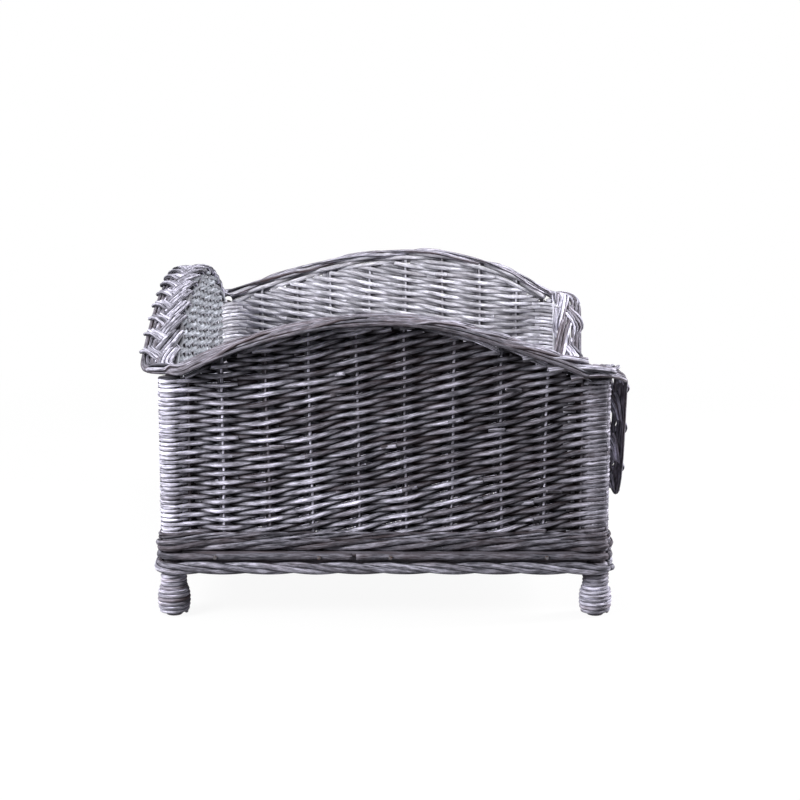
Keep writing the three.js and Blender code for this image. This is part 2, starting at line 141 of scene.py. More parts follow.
def crest_line(wall):
    """The crest as rows of (along, height): mid + (corner - mid) (along / reach)^2, or the entry.
    The near wall's has sagged a little on one side of its middle, by a bell curve. The far wall's
    leans towards the entry by a cubic, -x (1 - x^2), with x as a share of the reach."""
    reach = wall["span"] - CORNER_STEP
    if wall["name"] != "front":
        x = np.linspace(-reach, reach, CREST_POINTS)
        sag = SAG * np.exp(-((x - SAG_PLACE) / SAG_LENGTH) ** 2) * (wall["name"] == "left")
        share = x / reach
        lean = -LEAN_SCALE * LEAN * share * (1 - share**2) * (wall["name"] == "right")
        return np.stack([x, wall["top"] + (CORNER_TOP - wall["top"]) * share**2 - sag + lean], 1)
    sill = ENTRY_LEVEL / 2
    rise = cubic([(sill, ENTRY_TOP), (sill + ENTRY_SWEEP, ENTRY_TOP),
                  (reach - ENTRY_SHOULDER, CORNER_TOP), (reach, CORNER_TOP)], CREST_POINTS // 2)
    return np.concatenate([rise[::-1] * (-1, 1), rise])


def run_along(line):
    """The distance along a line at each of its points."""
    return np.concatenate([[0], np.cumsum(np.linalg.norm(np.diff(line, axis=0), axis=1))])


def evenly(line, step):
    """A line's points again, evenly spaced by its own length."""
    run = run_along(line)
    places = np.linspace(0, run[-1], max(2, round(run[-1] / step) + 1))
    return np.stack([np.interp(places, run, column) for column in line.T], 1)


def under_border(wall, along, height, margin):
    """Whether places on a wall are under the crest and at least a margin away from it."""
    line = evenly(CRESTS[wall["name"]], CREST_STEP)
    gap = np.hypot(along[..., None] - line[:, 0], height[..., None] - line[:, 1]).min(-1)
    return (height < np.interp(along, line[:, 0], line[:, 1])) & (gap > margin)


CRESTS = {name: crest_line(wall) for name, wall in WALLS.items()}
print("crest lengths", {name: round(run_along(line)[-1], 3) for name, line in CRESTS.items()})

# %% [markdown]
# Every willow rod is a path with a ring of points round each of its stations. A ring needs two
# directions square to the path: one is found from a direction that the rod should face, the other is
# their cross product. Rods are thousands of stations long in all, so each is worked out as one array.
# The skin also carries three numbers for the finish: grain, a place in the rod's own wood, tone, one
# value a rod, and inside_and_gap_shade, which is 0 on the outside of the basket and 1 on the paler
# inside, and a half where the skin lies deep in a gap or a crease, which the finish paints dark as shade.

# %% A rod's skin
SIDES = 8  # of a rod's skin
GRAIN_SPREAD = 4  # how far apart the rods' places in the wood may be, in metres
GAP_DEPTH, GAP_SHADE_DEPTH = 1 * MM, 17 * MM  # a gap's depth, and the depth over which the value goes from 0 to 1, bringing in the painted gap shade
CURVE = 0.8  # how strongly a skin's own curve counts towards how far it stands out, for the painted gap shade
CREASE_SHADE = 0.95  # how nearly the skin's top and bottom are painted as dark as a gap, as shade
CREASE_SPAN = 0.6  # the span of cosines over which a crease's painted shade fades
OUTER_FROM = -0.01  # the cosine from which skin is on the rod's outer side


def unit(vectors):
    return vectors / np.maximum(np.linalg.norm(vectors, axis=-1, keepdims=True), 1e-12)


def cosine_and_sine(sides=SIDES):
    turn = np.linspace(0, 2 * np.pi, sides, endpoint=False)
    return np.cos(turn), np.sin(turn)


def rod(path, facing, radius, tone=None, inside_and_gap_shade=0.0, outward=None, sides=SIDES, wide=1.0, tangent=None):
    """A rod's skin: middle + radius (cos a * facing side + sin a * third side) round each station.
    Where the rod's distance outward of the stakes' line is given, inside_and_gap_shade is 0 on skin that
    stands out furthest, 1 on skin that stands in furthest, and half where it lies deepest in a gap or
    against the rods above and below, where the finish paints it dark as shade."""
    path = np.asarray(path, float)
    ahead = unit(np.gradient(path, axis=0)) if tangent is None else tangent
    facing = np.broadcast_to(np.asarray(facing, float), path.shape)
    side = unit(facing - (facing * ahead).sum(-1, keepdims=True) * ahead)
    third = np.cross(ahead, side)
    cosine, sine = cosine_and_sine(sides)
    ring = cosine[:, None] * side[:, None] + wide * sine[:, None] * third[:, None]
    radius = np.broadcast_to(radius, len(path))[:, None]
    grain = np.stack(np.broadcast_arrays(radius * cosine, radius * sine, run_along(path)[:, None]), -1)
    grain = grain + chance.random(3) * GRAIN_SPREAD
    tone = chance.random() if tone is None else tone
    if outward is not None:
        # Skin deep in a gap, and the rod's top and bottom against the rows above and below, get a value near
        # a half: painted shade.
        stands = np.reshape(outward, (-1, 1)) + CURVE * radius * cosine
        inside_and_gap_shade = np.where(cosine > OUTER_FROM, np.clip(0.5 - (stands + GAP_DEPTH) / GAP_SHADE_DEPTH, 0, 0.5),
                        np.clip(0.5 + (GAP_DEPTH - stands) / GAP_SHADE_DEPTH, 0.5, 1))
        inside_and_gap_shade = inside_and_gap_shade + CREASE_SHADE * (0.5 - inside_and_gap_shade) * (1 - cosine**2)
    full = np.ones((len(path), sides))
    return {"points": path[:, None] + radius[..., None] * ring, "grain": grain,
            "tone": full * np.reshape(tone, (-1, 1)),
            "inside_and_gap_shade": full * (np.reshape(inside_and_gap_shade, (-1, 1)) if np.ndim(inside_and_gap_shade) < 2 else inside_and_gap_shade)}


def side_shade(start=0.1, both=False):
    """Painted shade round a rod that lies against others: 0 where it faces out, a half, as dark as a gap,
    from its sides inward. Where both sides of a piece show, it is 0 on the rod's inner side too."""
    facing = cosine_and_sine()[0]
    facing = abs(facing) if both else facing
    return 0.5 - 0.5 * np.clip((facing[None] - start) / CREASE_SPAN, 0, 1)


# %% Bundles of rods
SHORTER, SMALLER = 0.37, 0.6  # a wobble's second wave, as shares of the first


def faces_of(count, sides, first):
    """Quads between neighbouring rings, and one face closing each end, all facing outwards."""
    ring, step = np.arange(count - 1)[:, None] * sides, np.arange(sides)
    a, b = ring + step, ring + (step + 1) % sides
    quads = np.stack([a, b, b + sides, a + sides], -1).reshape(-1, 4) + first
    last = first + (count - 1) * sides
    return quads.tolist(), [(first + step[::-1]).tolist(), (last + step).tolist()]


def bundle(name, rods, finish, replaces=()):
    """One piece from many rods: their points, faces and finish numbers, end to end."""
    faces, first = [], 0
    for item in rods:
        count, sides = item["tone"].shape
        quads, ends = faces_of(count, sides, first)
        faces += quads + ends
        first += count * sides
    mesh = bpy.data.meshes.new(name)
    gather = {key: np.concatenate([item[key].reshape(-1, width) for item in rods])
              for key, width in (("points", 3), ("grain", 3), ("tone", 1), ("inside_and_gap_shade", 1))}
    mesh.from_pydata(gather["points"], [], faces)
    for key, kind, field in (("grain", "FLOAT_VECTOR", "vector"), ("tone", "FLOAT", "value"),
                             ("inside_and_gap_shade", "FLOAT", "value")):
        values = gather[key].ravel().astype(np.float32)
        mesh.attributes.new(key, kind, "POINT").data.foreach_set(field, values)
    mesh.shade_smooth()
    mesh.materials.append(finish)
    piece = bpy.data.objects.new(name, mesh)
    bpy.context.scene.collection.objects.link(piece)
    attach(piece, "root")
    if replaces:
        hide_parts(*replaces)
    mesh.calc_loop_triangles()
    print(name, len(rods), "rods,", len(mesh.loop_triangles), "triangles")


def wander(run, size, longest=160 * MM):
    """A slow sideways wobble: two sine waves of random phase along the rod."""
    phase = chance.random(2) * 2 * np.pi
    return size * (np.sin(2 * np.pi * run / longest + phase[0])
                   + SMALLER * np.sin(2 * np.pi * run / (SHORTER * longest) + phase[1]))


# %% [markdown]
# The willow was washed with thin grey paint. Colour sits in the grain as fine streaks, some rods took
# more of it than others, reddish bark shows where it wore thin, and the inside is paler than the
# outside. Gaps and creases between the rods are painted dark, as shade. All rods share that, so it is
# one node group: it reads the rod's own grain, tone and inside_and_gap_shade, and puts out a colour, a
# roughness and a height. The shader stays in each material.

# %% Helpers for nodes
def feed(source, target):
    """Wires an output to an input, or gives the input a plain number or colour."""
    if isinstance(source, bpy.types.NodeSocket):
        source.id_data.links.new(source, target)
    else:
        target.default_value = source


def node(tree, kind, inputs=None, **values):
    """The outputs of a new node, whose properties are set and whose inputs are fed."""
    made = tree.nodes.new("ShaderNode" + kind)
    for key, value in values.items():
        setattr(made, key, value)
    for key, source in (inputs or {}).items():
        feed(source, made.inputs[key])
    return made.outputs


def maths(operation, first, second=None, clamp=False):
    """A Math node's result."""
    inputs = {0: first} if second is None else {0: first, 1: second}
    return node(first.id_data, "Math", inputs, operation=operation, use_clamp=clamp)[0]


def blend(share, first, second):
    """A Mix node's result: from the first number to the second by a share."""
    return node(share.id_data, "Mix", {0: share, 2: first, 3: second})[0]


def blend_colours(share, first, second):
    return node(share.id_data, "Mix", {0: share, 6: first, 7: second}, data_type="RGBA")[2]


def ranged(value, low, high, to_low=0.0, to_high=1.0):
    """A Map Range node's result, with smooth ends."""
    inputs = dict(enumerate((value, low, high, to_low, to_high)))
    return node(value.id_data, "MapRange", inputs, interpolation_type="SMOOTHSTEP")[0]


def noise(vector, scale, stretch=(1, 1, 1), detail=3.0, roughness=0.55):
    """Noise on a stretched place. A small stretch draws it out in that direction."""
    place = node(vector.id_data, "Mapping", {"Vector": vector, "Scale": stretch})[0]
    inputs = {"Vector": place, "Scale": scale, "Detail": detail, "Roughness": roughness}
    return node(vector.id_data, "TexNoise", inputs)[0]


def new_group(name, inputs):
    """An empty node group with its sockets: it puts out a colour, a roughness and a height."""
    group = bpy.data.node_groups.new(name, "ShaderNodeTree")
    for key, kind, default in inputs:
        socket = group.interface.new_socket(key, in_out="INPUT", socket_type="NodeSocket" + kind)
        socket.default_value = default
    for key, kind in (("Color", "Color"), ("Roughness", "Float"), ("Height", "Float")):
        group.interface.new_socket(key, in_out="OUTPUT", socket_type="NodeSocket" + kind)
    return group, group.nodes.new("NodeGroupInput").outputs, group.nodes.new("NodeGroupOutput").inputs


def put_out(result, colour, roughness, height):
    """Wires a group's three results to its output sockets."""
    for source, target in zip((colour, roughness, height), result):
        feed(source, target)


# %% The willow's colours
LILAC, WARMER = (1, 0.97, 1.165), (0.35, -0.12, -0.3)  # the wash's tint, and its shift towards bark
PALE = (1, 0.985, 1.1)  # the tint of the basket's inside, nearly neutral, a little blue


def grey(level, warmth=0.0):
    """A washed willow colour: level (tint + shift * warmth), from lilac grey towards mauve and bark."""
    return (*(level * (tint + shift * warmth) for tint, shift in zip(LILAC, WARMER)), 1)


def pale(level):
    return (*(level * tint for tint in PALE), 1)


print("grey", grey(0.5), "pale", pale(0.5))

# %% The washed willow group
TONE_SPAN, TONE_LOW = 1.3, 0.35  # how much lighter the palest rod is, and the level of the darkest
INSIDE_FROM, INSIDE_FULL = 0.48, 0.52  # between these the outside's colour gives way to the inside's
GAP_SPAN = 0.32  # how far from half the value is where the skin is out of its painted gap shade and has its full level
EVENED, INSIDE_LEVEL = 0.35, 0.85  # the inside is evened this much, towards this level
TONE_TO_BARK = 0.25  # how much a pale rod's bark is covered

WILLOW, given, result = new_group("washed_willow", [
    ("Outside", "Color", grey(0.3)), ("Inside", "Color", grey(0.5)), ("Bark", "Color", grey(0.16, 1.0)),
    ("Outside Gap Shade", "Float", 0.1), ("Inside Gap Shade", "Float", 0.6), ("Streaks", "Float", 0.5),
    ("Bark Showing", "Float", 0.3)])
grain = node(WILLOW, "Attribute", attribute_name="grain")["Vector"]
tone = node(WILLOW, "Attribute", attribute_name="tone")["Fac"]
inside_and_gap_shade = node(WILLOW, "Attribute", attribute_name="inside_and_gap_shade")["Fac"]
fine = noise(grain, 900, stretch=(1, 1, 0.08), detail=4.0, roughness=0.6)
broad = noise(grain, 55, stretch=(1, 1, 0.45), detail=2.0)
patches = noise(grain, 340, stretch=(1, 1, 0.28))
spots = noise(grain, 420, stretch=(1, 1, 0.35), detail=2.0)
inward = ranged(inside_and_gap_shade, INSIDE_FROM, INSIDE_FULL)
paint = blend_colours(inward, given["Outside"], given["Inside"])
# Skin whose value is near a half lies in a gap or crease: it is painted darker there, as shade, down to the
# gap shade's level.
proud = maths("ABSOLUTE", maths("SUBTRACT", inside_and_gap_shade, 0.5))
gap_shade = blend(inward, given["Outside Gap Shade"], given["Inside Gap Shade"])
streaks = maths("MULTIPLY", ranged(fine, 0.32, 0.68, -0.5, 0.5), given["Streaks"])
level = maths("ADD", maths("MULTIPLY", tone, TONE_SPAN), TONE_LOW)
for share in (ranged(proud, 0.0, GAP_SPAN, gap_shade), ranged(broad, 0.25, 0.75, 0.8, 1.2),
              ranged(patches, 0.3, 0.7, 0.55, 1.45), maths("ADD", streaks, 1.0)):
    level = maths("MULTIPLY", level, share)
level = blend(maths("MULTIPLY", inward, EVENED), level, INSIDE_LEVEL)
painted = node(WILLOW, "VectorMath", {0: paint, "Scale": level}, operation="SCALE")[0]
thin_paint = ranged(maths("SUBTRACT", broad, maths("MULTIPLY", tone, TONE_TO_BARK)), 0.28, 0.6)
worn = maths("ADD", maths("MULTIPLY", thin_paint, given["Bark Showing"]),
             ranged(spots, 0.7, 0.8, 0.0, 0.55), clamp=True)
put_out(result, blend_colours(worn, painted, given["Bark"]), ranged(fine, 0.3, 0.7, 0.52, 0.78),
        maths("ADD", fine, maths("MULTIPLY", spots, 0.6)))
print("the willow group has", len(WILLOW.nodes), "nodes")


# %% The willow finishes
def shaded(name, group, values, bump, **sockets):
    """A material whose group drives colour, roughness and a bump, with plain numbers on its shader."""
    material = bpy.data.materials.new(name)
    material.use_nodes = True
    tree = material.node_tree
    finish = node(tree, "Group", values, node_tree=group)
    raised = node(tree, "Bump", {"Height": finish["Height"], "Distance": bump})[0]
    sockets.update(Base_Color=finish["Color"], Roughness=finish["Roughness"], Normal=raised)
    for key, source in sockets.items():
        feed(source, tree.nodes["Principled BSDF"].inputs[key.replace("_", " ")])
    return material


def willow(name, outside, inside, gap_shades=(0.0, 0.62), bark_showing=0.3, bark=0.12):
    """A willow finish: the outside's level, the inside's colour, and how light the painted shade in both gaps
    is.
    """
    return shaded(name, WILLOW, {"Outside": grey(outside), "Inside": inside, "Streaks": STREAKS,
                                 "Outside Gap Shade": gap_shades[0], "Inside Gap Shade": gap_shades[1],
                                 "Bark": grey(bark, 1.0), "Bark Showing": bark_showing},
                  bump=0.8 * MM, Specular_IOR_Level=0.02)


STREAKS = 1.2  # how strong the wash's streaks are
BLUER_SHADED_GREY = (0.34, 0.355, 0.4, 1)  # of the back wall's inside: bluer than the others', and darker as painted shade
# Each finish's pair of gap shades says how light the painted shade in its gaps is, outside and inside.
WEAVER_FINISH = willow("washed_weavers", 0.55, pale(0.6), bark_showing=0.14)
BACK_SHADED_FINISH = willow("washed_weavers_back_shaded", 0.53, BLUER_SHADED_GREY, bark_showing=0.14)
STAKE_FINISH = willow("washed_stakes", 0.46, pale(0.5), bark_showing=0.2)
BORDER_FINISH = willow("washed_border", 0.34, pale(0.45), (0.04, 0.5), bark_showing=0.2, bark=0.18)
BORDER_BACK_FINISH = willow("washed_border_back", 0.36, pale(0.45), (0.06, 0.5), bark_showing=0.0)
BASE_FINISH = willow("washed_base_rods", 0.26, pale(0.3), (0.02, 0.5), bark_showing=0.2)
CANE_FINISH = willow("washed_cane", 0.44, pale(0.42), (0.3, 0.5), bark_showing=0.3, bark=0.2)
# The woven floor is painted darker than the walls, as the shade inside the basket seen through the gaps.
MAT_SHADED_FINISH = willow("washed_mat_shaded", 0.3, pale(0.3))
print("finishes", [material.name for material in bpy.data.materials if material.name.startswith("washed")])

# %% [markdown]
# The camera comes next, because everything else is judged through it. Its place was worked out from
# the basket's corners in the picture: a long lens about two metres in front of the left wall, looking
# down by some ten degrees. The light is a plain soft studio: a pale sky and large lamps at the left,
# at the right and above, so that rods are bright on top and dark below.

# %% Camera and light
CAMERA_PLACE = (23.5 * MM, -2244.8 * MM, 574.4 * MM)
CAMERA_DOWN, CAMERA_TURN = 10.31, 0.15  # in degrees
LAMPS = (("soft_left", (-1.2, -1.0, 1.0), 0.7, 36),  # a lamp's name, place, size and power
         ("soft_right", (1.2, 0.05, 0.5), 0.4, 24),
         ("soft_overhead", (0.0, -0.1, 2.0), 1.0, 22))
LAMP_TARGET = (0, 0, 0.15)
SKY_LEVEL = 0.09  # of the sky as a light. What is seen of it directly is plain white

camera = bpy.data.objects.new("camera", bpy.data.cameras.new("camera"))
bpy.context.scene.collection.objects.link(camera)
camera.location = CAMERA_PLACE
camera.rotation_euler = (math.radians(90 - CAMERA_DOWN), 0, math.radians(CAMERA_TURN))
camera.data.lens, camera.data.sensor_width = 90.94, 36
bpy.context.scene.camera = camera
bpy.context.scene.view_settings.view_transform = "Standard"

for name, place, size, power in LAMPS:
    light = bpy.data.objects.new(name, bpy.data.lights.new(name, "AREA"))
    bpy.context.scene.collection.objects.link(light)
    light.data.size, light.data.energy = size, power
    light.location = place
    look = Vector(LAMP_TARGET) - Vector(place)
    light.rotation_euler = look.to_track_quat("-Z", "Y").to_euler()


def seen_directly(tree):
    """1 where the camera sees the surface itself, or its reflection or what is behind glass."""
    path = node(tree, "LightPath")
    shown = maths("MAXIMUM", path["Is Camera Ray"], path["Is Glossy Ray"])
    return maths("MAXIMUM", shown, path["Is Transmission Ray"])


world = bpy.data.worlds.new("studio")
bpy.context.scene.world = world
world.use_nodes = True
sky = world.node_tree.nodes["Background"].inputs
feed((1, 1, 1, 1), sky["Color"])
feed(ranged(seen_directly(world.node_tree), 0, 1, SKY_LEVEL, 1.0), sky["Strength"])
print("camera at", tuple(camera.location), "with", len(LAMPS), "lamps")

# %% The floor
FLOOR_SHARE = 0.93  # of the floor's plain white in what the camera sees, the rest takes the shadow
FLOOR_MATT = (0.2, 0.2, 0.2, 1)  # what it sends up at the basket
FLOOR_SEEN = (0.95, 0.95, 0.95, 1)
SHADOW_NEAR, SHADOW_FAR = 0.5, 1.3  # between these distances from the middle its shadow fades

floor_mesh = bpy.data.meshes.new("floor")
floor_mesh.from_pydata([(-4, -4, 0), (4, -4, 0), (4, 9, 0), (-4, 9, 0)], [], [(0, 1, 2, 3)])
floor = bpy.data.objects.new("floor", floor_mesh)
bpy.context.scene.collection.objects.link(floor)
white = bpy.data.materials.new("floor_white")
white.use_nodes = True
tree = white.node_tree
matt = tree.nodes["Principled BSDF"]
seen = seen_directly(tree)
feed(1.0, matt.inputs["Roughness"])
feed(0.0, matt.inputs["Specular IOR Level"])
feed(blend_colours(seen, FLOOR_MATT, FLOOR_SEEN), matt.inputs["Base Color"])
away = node(tree, "VectorMath", {0: node(tree, "TexCoord")["Object"]}, operation="LENGTH")["Value"]
share = maths("MULTIPLY", seen, ranged(away, SHADOW_NEAR, SHADOW_FAR, FLOOR_SHARE, 1.0))
mixed = node(tree, "MixShader", {0: share, 1: matt.outputs[0], 2: node(tree, "Emission")[0]})[0]
feed(mixed, tree.nodes["Material Output"].inputs["Surface"])
floor_mesh.materials.append(white)
print("floor of", len(tree.nodes), "nodes")

# %% [markdown]
# A wall is randing, the plainest weave: one weaver at a time passes outside one stake and inside the
# next, and the row above does the opposite. Seen from above, that is a cosine whose phase grows by
# half a turn from stake to stake. At the corners every row goes round the outside of the post. A new
# weaver is laid in where the last one ends, so each row has a join with two thin overlapping ends.

# %% Where the stakes stand
END_STAKE = 20 * MM  # from a post's weavers to the first stake
STAKE_GAP, STAKE_CHANCE = 42 * MM, 2.5 * MM  # between stakes, and how far one may be off its place
NEAR_STAKES = np.array((-194.7, -161, -116.5, -74.2, -27, 19.2, 66.1, 113.8, 157.7, 193.6)) * MM


def stakes_of(wall):
    """Where the stakes stand along a wall: as seen on the near one, or evenly with a little chance."""
    if wall["name"] == "left":
        return NEAR_STAKES
    if wall["name"] == "right":
        return -NEAR_STAKES[::-1]
    end = wall["span"] - WRAP_RADIUS - END_STAKE
    places = np.linspace(-end, end, round(2 * end / STAKE_GAP) + 1)
    places[1:-1] += chance.uniform(-STAKE_CHANCE, STAKE_CHANCE, len(places) - 2)
    return places


def counted(places, stakes):
    """Places as stake numbers: 0 at the first stake, 1 at the second, and parts between them."""
    return np.interp(places, stakes, np.arange(len(stakes)))


# %% A row from above and from the side
PITCH = 4.5 * MM  # from row to row
WEAVER = 2.5 * MM  # a weaver's radius
SWING = 3.8 * MM  # from the stakes' line to a weaver's middle
SPINDLE_RISE = 0.2 * MM  # how much a weaver rises across a stake and falls behind the next
STATION = 5 * MM  # between a weaver's stations
ARC_START, ARC_END, ARC_STATIONS = 140, 32, 7  # of the arc round a post, in degrees
ROW_COUNT = 70
SLOPES = {"left": 0.22, "right": 0.17, "back": 0.05, "front": 0.05}  # how steeply the rows climb
CLIMB_START, CLIMB_EASE = 0.83, 0.5  # before the middle, and over which stretch, as shares of the reach
CLIMB_POINTS = 400
DRIFTS = ((0.8, 160, 22), (0.4, 90, 16), (0.25, 55, 14))  # size and length in mm, and length in rows
DRIFT_STARTS = chance.random((4, 3))


def weaver_plan(wall, stakes, odd):
    """A row from above, as (along, outward): a = pi (stake number + odd), and outward is the swing
    times (cos a + cos 3a / 9) / (1 + 1/9), straighter than a cosine. A third number is how far the
    row rises across each stake, sin a. Arcs lie on the posts, from the corner's diagonal to the wall,
    and the whole is smoothed twice."""
    turn = np.radians(np.linspace(ARC_START, ARC_END, ARC_STATIONS))
    round_post = WRAP_RADIUS - WEAVER - MM
    start = np.stack([round_post * np.cos(turn) - wall["span"], round_post * np.sin(turn), 0 * turn], 1)
    x = np.linspace(stakes[0], stakes[-1], round((stakes[-1] - stakes[0]) / STATION))
    a = np.pi * (counted(x, stakes) + odd)
    across = np.stack([x, SWING * (np.cos(a) + np.cos(3 * a) / 9) / (1 + 1 / 9),
                       SPINDLE_RISE * np.sin(a)], 1)
    plan = np.concatenate([start, across, start[::-1] * (-1, 1, 1)])
    for _ in range(2):
        plan[1:-1] = (plan[:-2] + 2 * plan[1:-1] + plan[2:]) / 4
    return plan


def climb_of(wall):
    """How far the rows have climbed along a wall, as a fine line of (along, height), and the rows
    gained. They start level, come to the full slope over a stretch and keep it: reach * slope *
    (eased^2 / (2 ease) + run - eased). It is drawn out a little to a whole number of rows."""
    x = np.linspace(-wall["span"], wall["span"], CLIMB_POINTS)
    run = np.maximum(x / wall["span"] + CLIMB_START, 0)
    eased = np.minimum(run, CLIMB_EASE)
    height = wall["span"] * SLOPES[wall["name"]] * (eased**2 / (2 * CLIMB_EASE) + run - eased)
    gained = round(height[-1] / PITCH)
    return x, height * gained * PITCH / height[-1], gained


def drift(wall, x, row):
    """How rows sag and heave together: sine waves of 2 pi (along / length + row / rows)."""
    return sum(size * MM * np.sin(2 * np.pi * (x / (length * MM) + row / rows + start))
               for (size, length, rows), start in zip(DRIFTS, DRIFT_STARTS[wall["index"]]))


print("rows gained", {name: climb_of(wall)[2] for name, wall in WALLS.items()})

# %% One weaver
# Rows take random tones, each corner from its own range. The ranges also paint shade: the near wall is darker
# towards its front corner and lighter towards its back one, where the left lamp is nearer.
TONE_AND_SHADE_RANGES = {"front_left": (0, 0.35), "front_right": (0.2, 0.9), "back_right": (0.2, 0.9),
               "back_left": (0.42, 0.92)}
CORNER_TONES_AND_SHADE = {corner: chance.uniform(*TONE_AND_SHADE_RANGES[corner], ROW_COUNT * 2) for corner in CORNER_NAMES}
CORNER_SIZES = {corner: chance.uniform(0.93, 1.1, ROW_COUNT * 2) for corner in CORNER_NAMES}
WEAVER_TALL = 1.1  # a weaver is pressed a little flatter against the stakes
AT_POST = 0.92  # its radius round a post, as a share of its own
LAP = 11 * MM  # how far a weaver goes on past the middle of its join
THIN_OVER, ASIDE_OVER = 6 * LAP, 2.2 * LAP  # how long before its end it thins, and steps aside
THINNED, ASIDE, STEP = 0.13, 1.6 * MM, 0.7 * MM  # by how much it thins, and steps sideways and up or down


def weaver(wall, x, outward, z, size, tone, end=None, way=0):
    """One weaver of a row. Where its end is a join it thins, and steps aside and up or down."""
    radius = np.where(abs(x) > wall["span"] - WRAP_RADIUS, AT_POST, 1.0) * WEAVER * size
    if end is not None:
        near = np.clip(1 - abs(x - end) / THIN_OVER, 0, 1)
        close = np.clip(1 - abs(x - end) / ASIDE_OVER, 0, 1) ** 2
        radius = radius * (1 - THINNED * near)
        outward = outward + close * chance.choice((-1, 1)) * ASIDE
        z = z + way * STEP * close
    # Its skin is painted darker where it lies deep in a gap, as shade.
    return rod(on_wall(wall, x, outward, z), wall["out"], radius, tone, outward=outward, wide=WEAVER_TALL)


# %% Weave the walls
FIRST_ROW = WALL_BOTTOM + PITCH / 2
TOP_ROW = 5.5 * MM  # how far under the crest the first of the rows lies that follow it
TOP_ROWS = 3
TUCKED = 4 * MM  # how far the other rows reach up past where a fourth would lie
BURIED = 7 * MM  # how far rows start below the wall's foot, behind the wale
FREE_FROM = 25 * MM  # from the last stake, where rows begin to heave fully
SHORTEST = 4  # stations that a stretch has at least
JOINED_FROM = 14 * LAP  # a shorter stretch is one weaver
EARLY = 1.7  # it brings the joins nearer to a row's start


def stretches(keep):
    """The unbroken stretches of a true-or-false line, as pairs of first and last-plus-one."""
    edges = np.flatnonzero(np.diff(np.concatenate([[0], keep.astype(int), [0]])))
    return [pair for pair in zip(edges[::2], edges[1::2]) if pair[1] - pair[0] >= SHORTEST]


def weave(wall, stakes):
    """All the rows of a wall, each kept where it is over the base and under the border."""
    start, end = CORNER_NAMES[wall["index"]], CORNER_NAMES[(wall["index"] + 1) % 4]
    climb_x, climb, gained = climb_of(wall)
    made = []
    for row in range(-gained, ROW_COUNT):
        x, outward, rise = weaver_plan(wall, stakes, row % 2).T
        z = FIRST_ROW + PITCH * row + np.interp(x, climb_x, climb)
        free = np.clip((stakes[-1] - abs(x)) / FREE_FROM, 0, 1)
        z = z + (rise + drift(wall, x, row) + wander(x, 0.12 * MM, longest=90 * MM)) * free
        keep = (z > WALL_BOTTOM - BURIED) & under_border(wall, x, z, TOP_ROW + TOP_ROWS * PITCH - TUCKED)
        grid = row + ROW_COUNT // 2
        # A row's tones carry the corners' painted shade as well as random tone.
        tones, sizes = ((table[start][grid], table[end][grid + gained])
                        for table in (CORNER_TONES_AND_SHADE, CORNER_SIZES))
        for first, last in stretches(keep):
            cut = slice(first, last)
            xs, outs, zs = x[cut], outward[cut] + wander(x[cut], 0.2 * MM), z[cut]
            if xs[-1] - xs[0] < JOINED_FROM:
                here = 0 if xs[0] < 0 else 1
                made.append(weaver(wall, xs, outs, zs, sizes[here], tones[here]))
                continue
            join = xs[0] + THIN_OVER + (xs[-1] - xs[0] - 2 * THIN_OVER) * chance.random() ** EARLY
            for number, way in enumerate((-1, 1)):
                stop = join - way * LAP
                half = way * (xs - stop) > 0
                made.append(weaver(wall, xs[half], outs[half], zs[half], sizes[number], tones[number],
                                   stop, way))
    return made


def square_to(line):
    """The directions square to a flat line, on its right-hand side."""
    ahead = unit(np.gradient(line, axis=0))
    return np.stack([ahead[:, 1], -ahead[:, 0]], 1)


def top_rows(wall, stakes):
    """The last rows, which follow the crest at even distances under it and hide the others' ends."""
    crest = evenly(CRESTS[wall["name"]], STATION)
    made = []
    for row in range(TOP_ROWS):
        x, z = (crest + (TOP_ROW + row * PITCH) * square_to(crest)).T
        outward = SWING * np.cos(np.pi * (counted(x, stakes) + row))
        # Their skin is painted darker where it lies deep in a gap, as shade.
        made.append(rod(on_wall(wall, x, outward, z + wander(x, 0.3 * MM)), wall["out"],
                        WEAVER * chance.uniform(0.95, 1.05), outward=outward))
    return made


WALL_STAKES = {name: stakes_of(wall) for name, wall in WALLS.items()}
# The back wall's weave takes the finish with painted shade on its inside.
for name, wall in WALLS.items():
    rows = weave(wall, WALL_STAKES[name]) + top_rows(wall, WALL_STAKES[name])
    bundle("wall_weave_" + name, rows, BACK_SHADED_FINISH if name == "back" else WEAVER_FINISH,
           ["woven_wall_" + name])

# %% [markdown]
# The stakes stand in pairs, two thin rods side by side, and show as short light dashes between the
# weavers. They run from inside the base rods up into the border and lean a little, each its own way.

# %% The stakes
STAKE = 1.65 * MM
STAKE_OUT = 1.5 * MM  # one of a pair stands this far outward of their line, the other inward
STAKE_SHADE_DEPTH = 3 * MM  # and is painted in gap shade as if it stood this far
PAIR_HALF, PAIR_UNEVEN = 1.4 * MM, 0.25 * MM  # from a pair's middle to a rod, and how radii differ
STAKE_FOOT = WALL_BOTTOM - 11 * MM
STAKE_STATION, STAKE_MARGIN = 9 * MM, 6 * MM  # between stations, and how far a stake stops under the crest
STAKE_LEAN, LEAN_OVER = 4 * MM, 200 * MM  # how far it may lean, over this height
NEAR_TONES = (0, 1, 0.1, 0.9, 0.4, 0.4, 0.6, 0.5, 0.9, 0.1)  # the near stakes took the paint unevenly


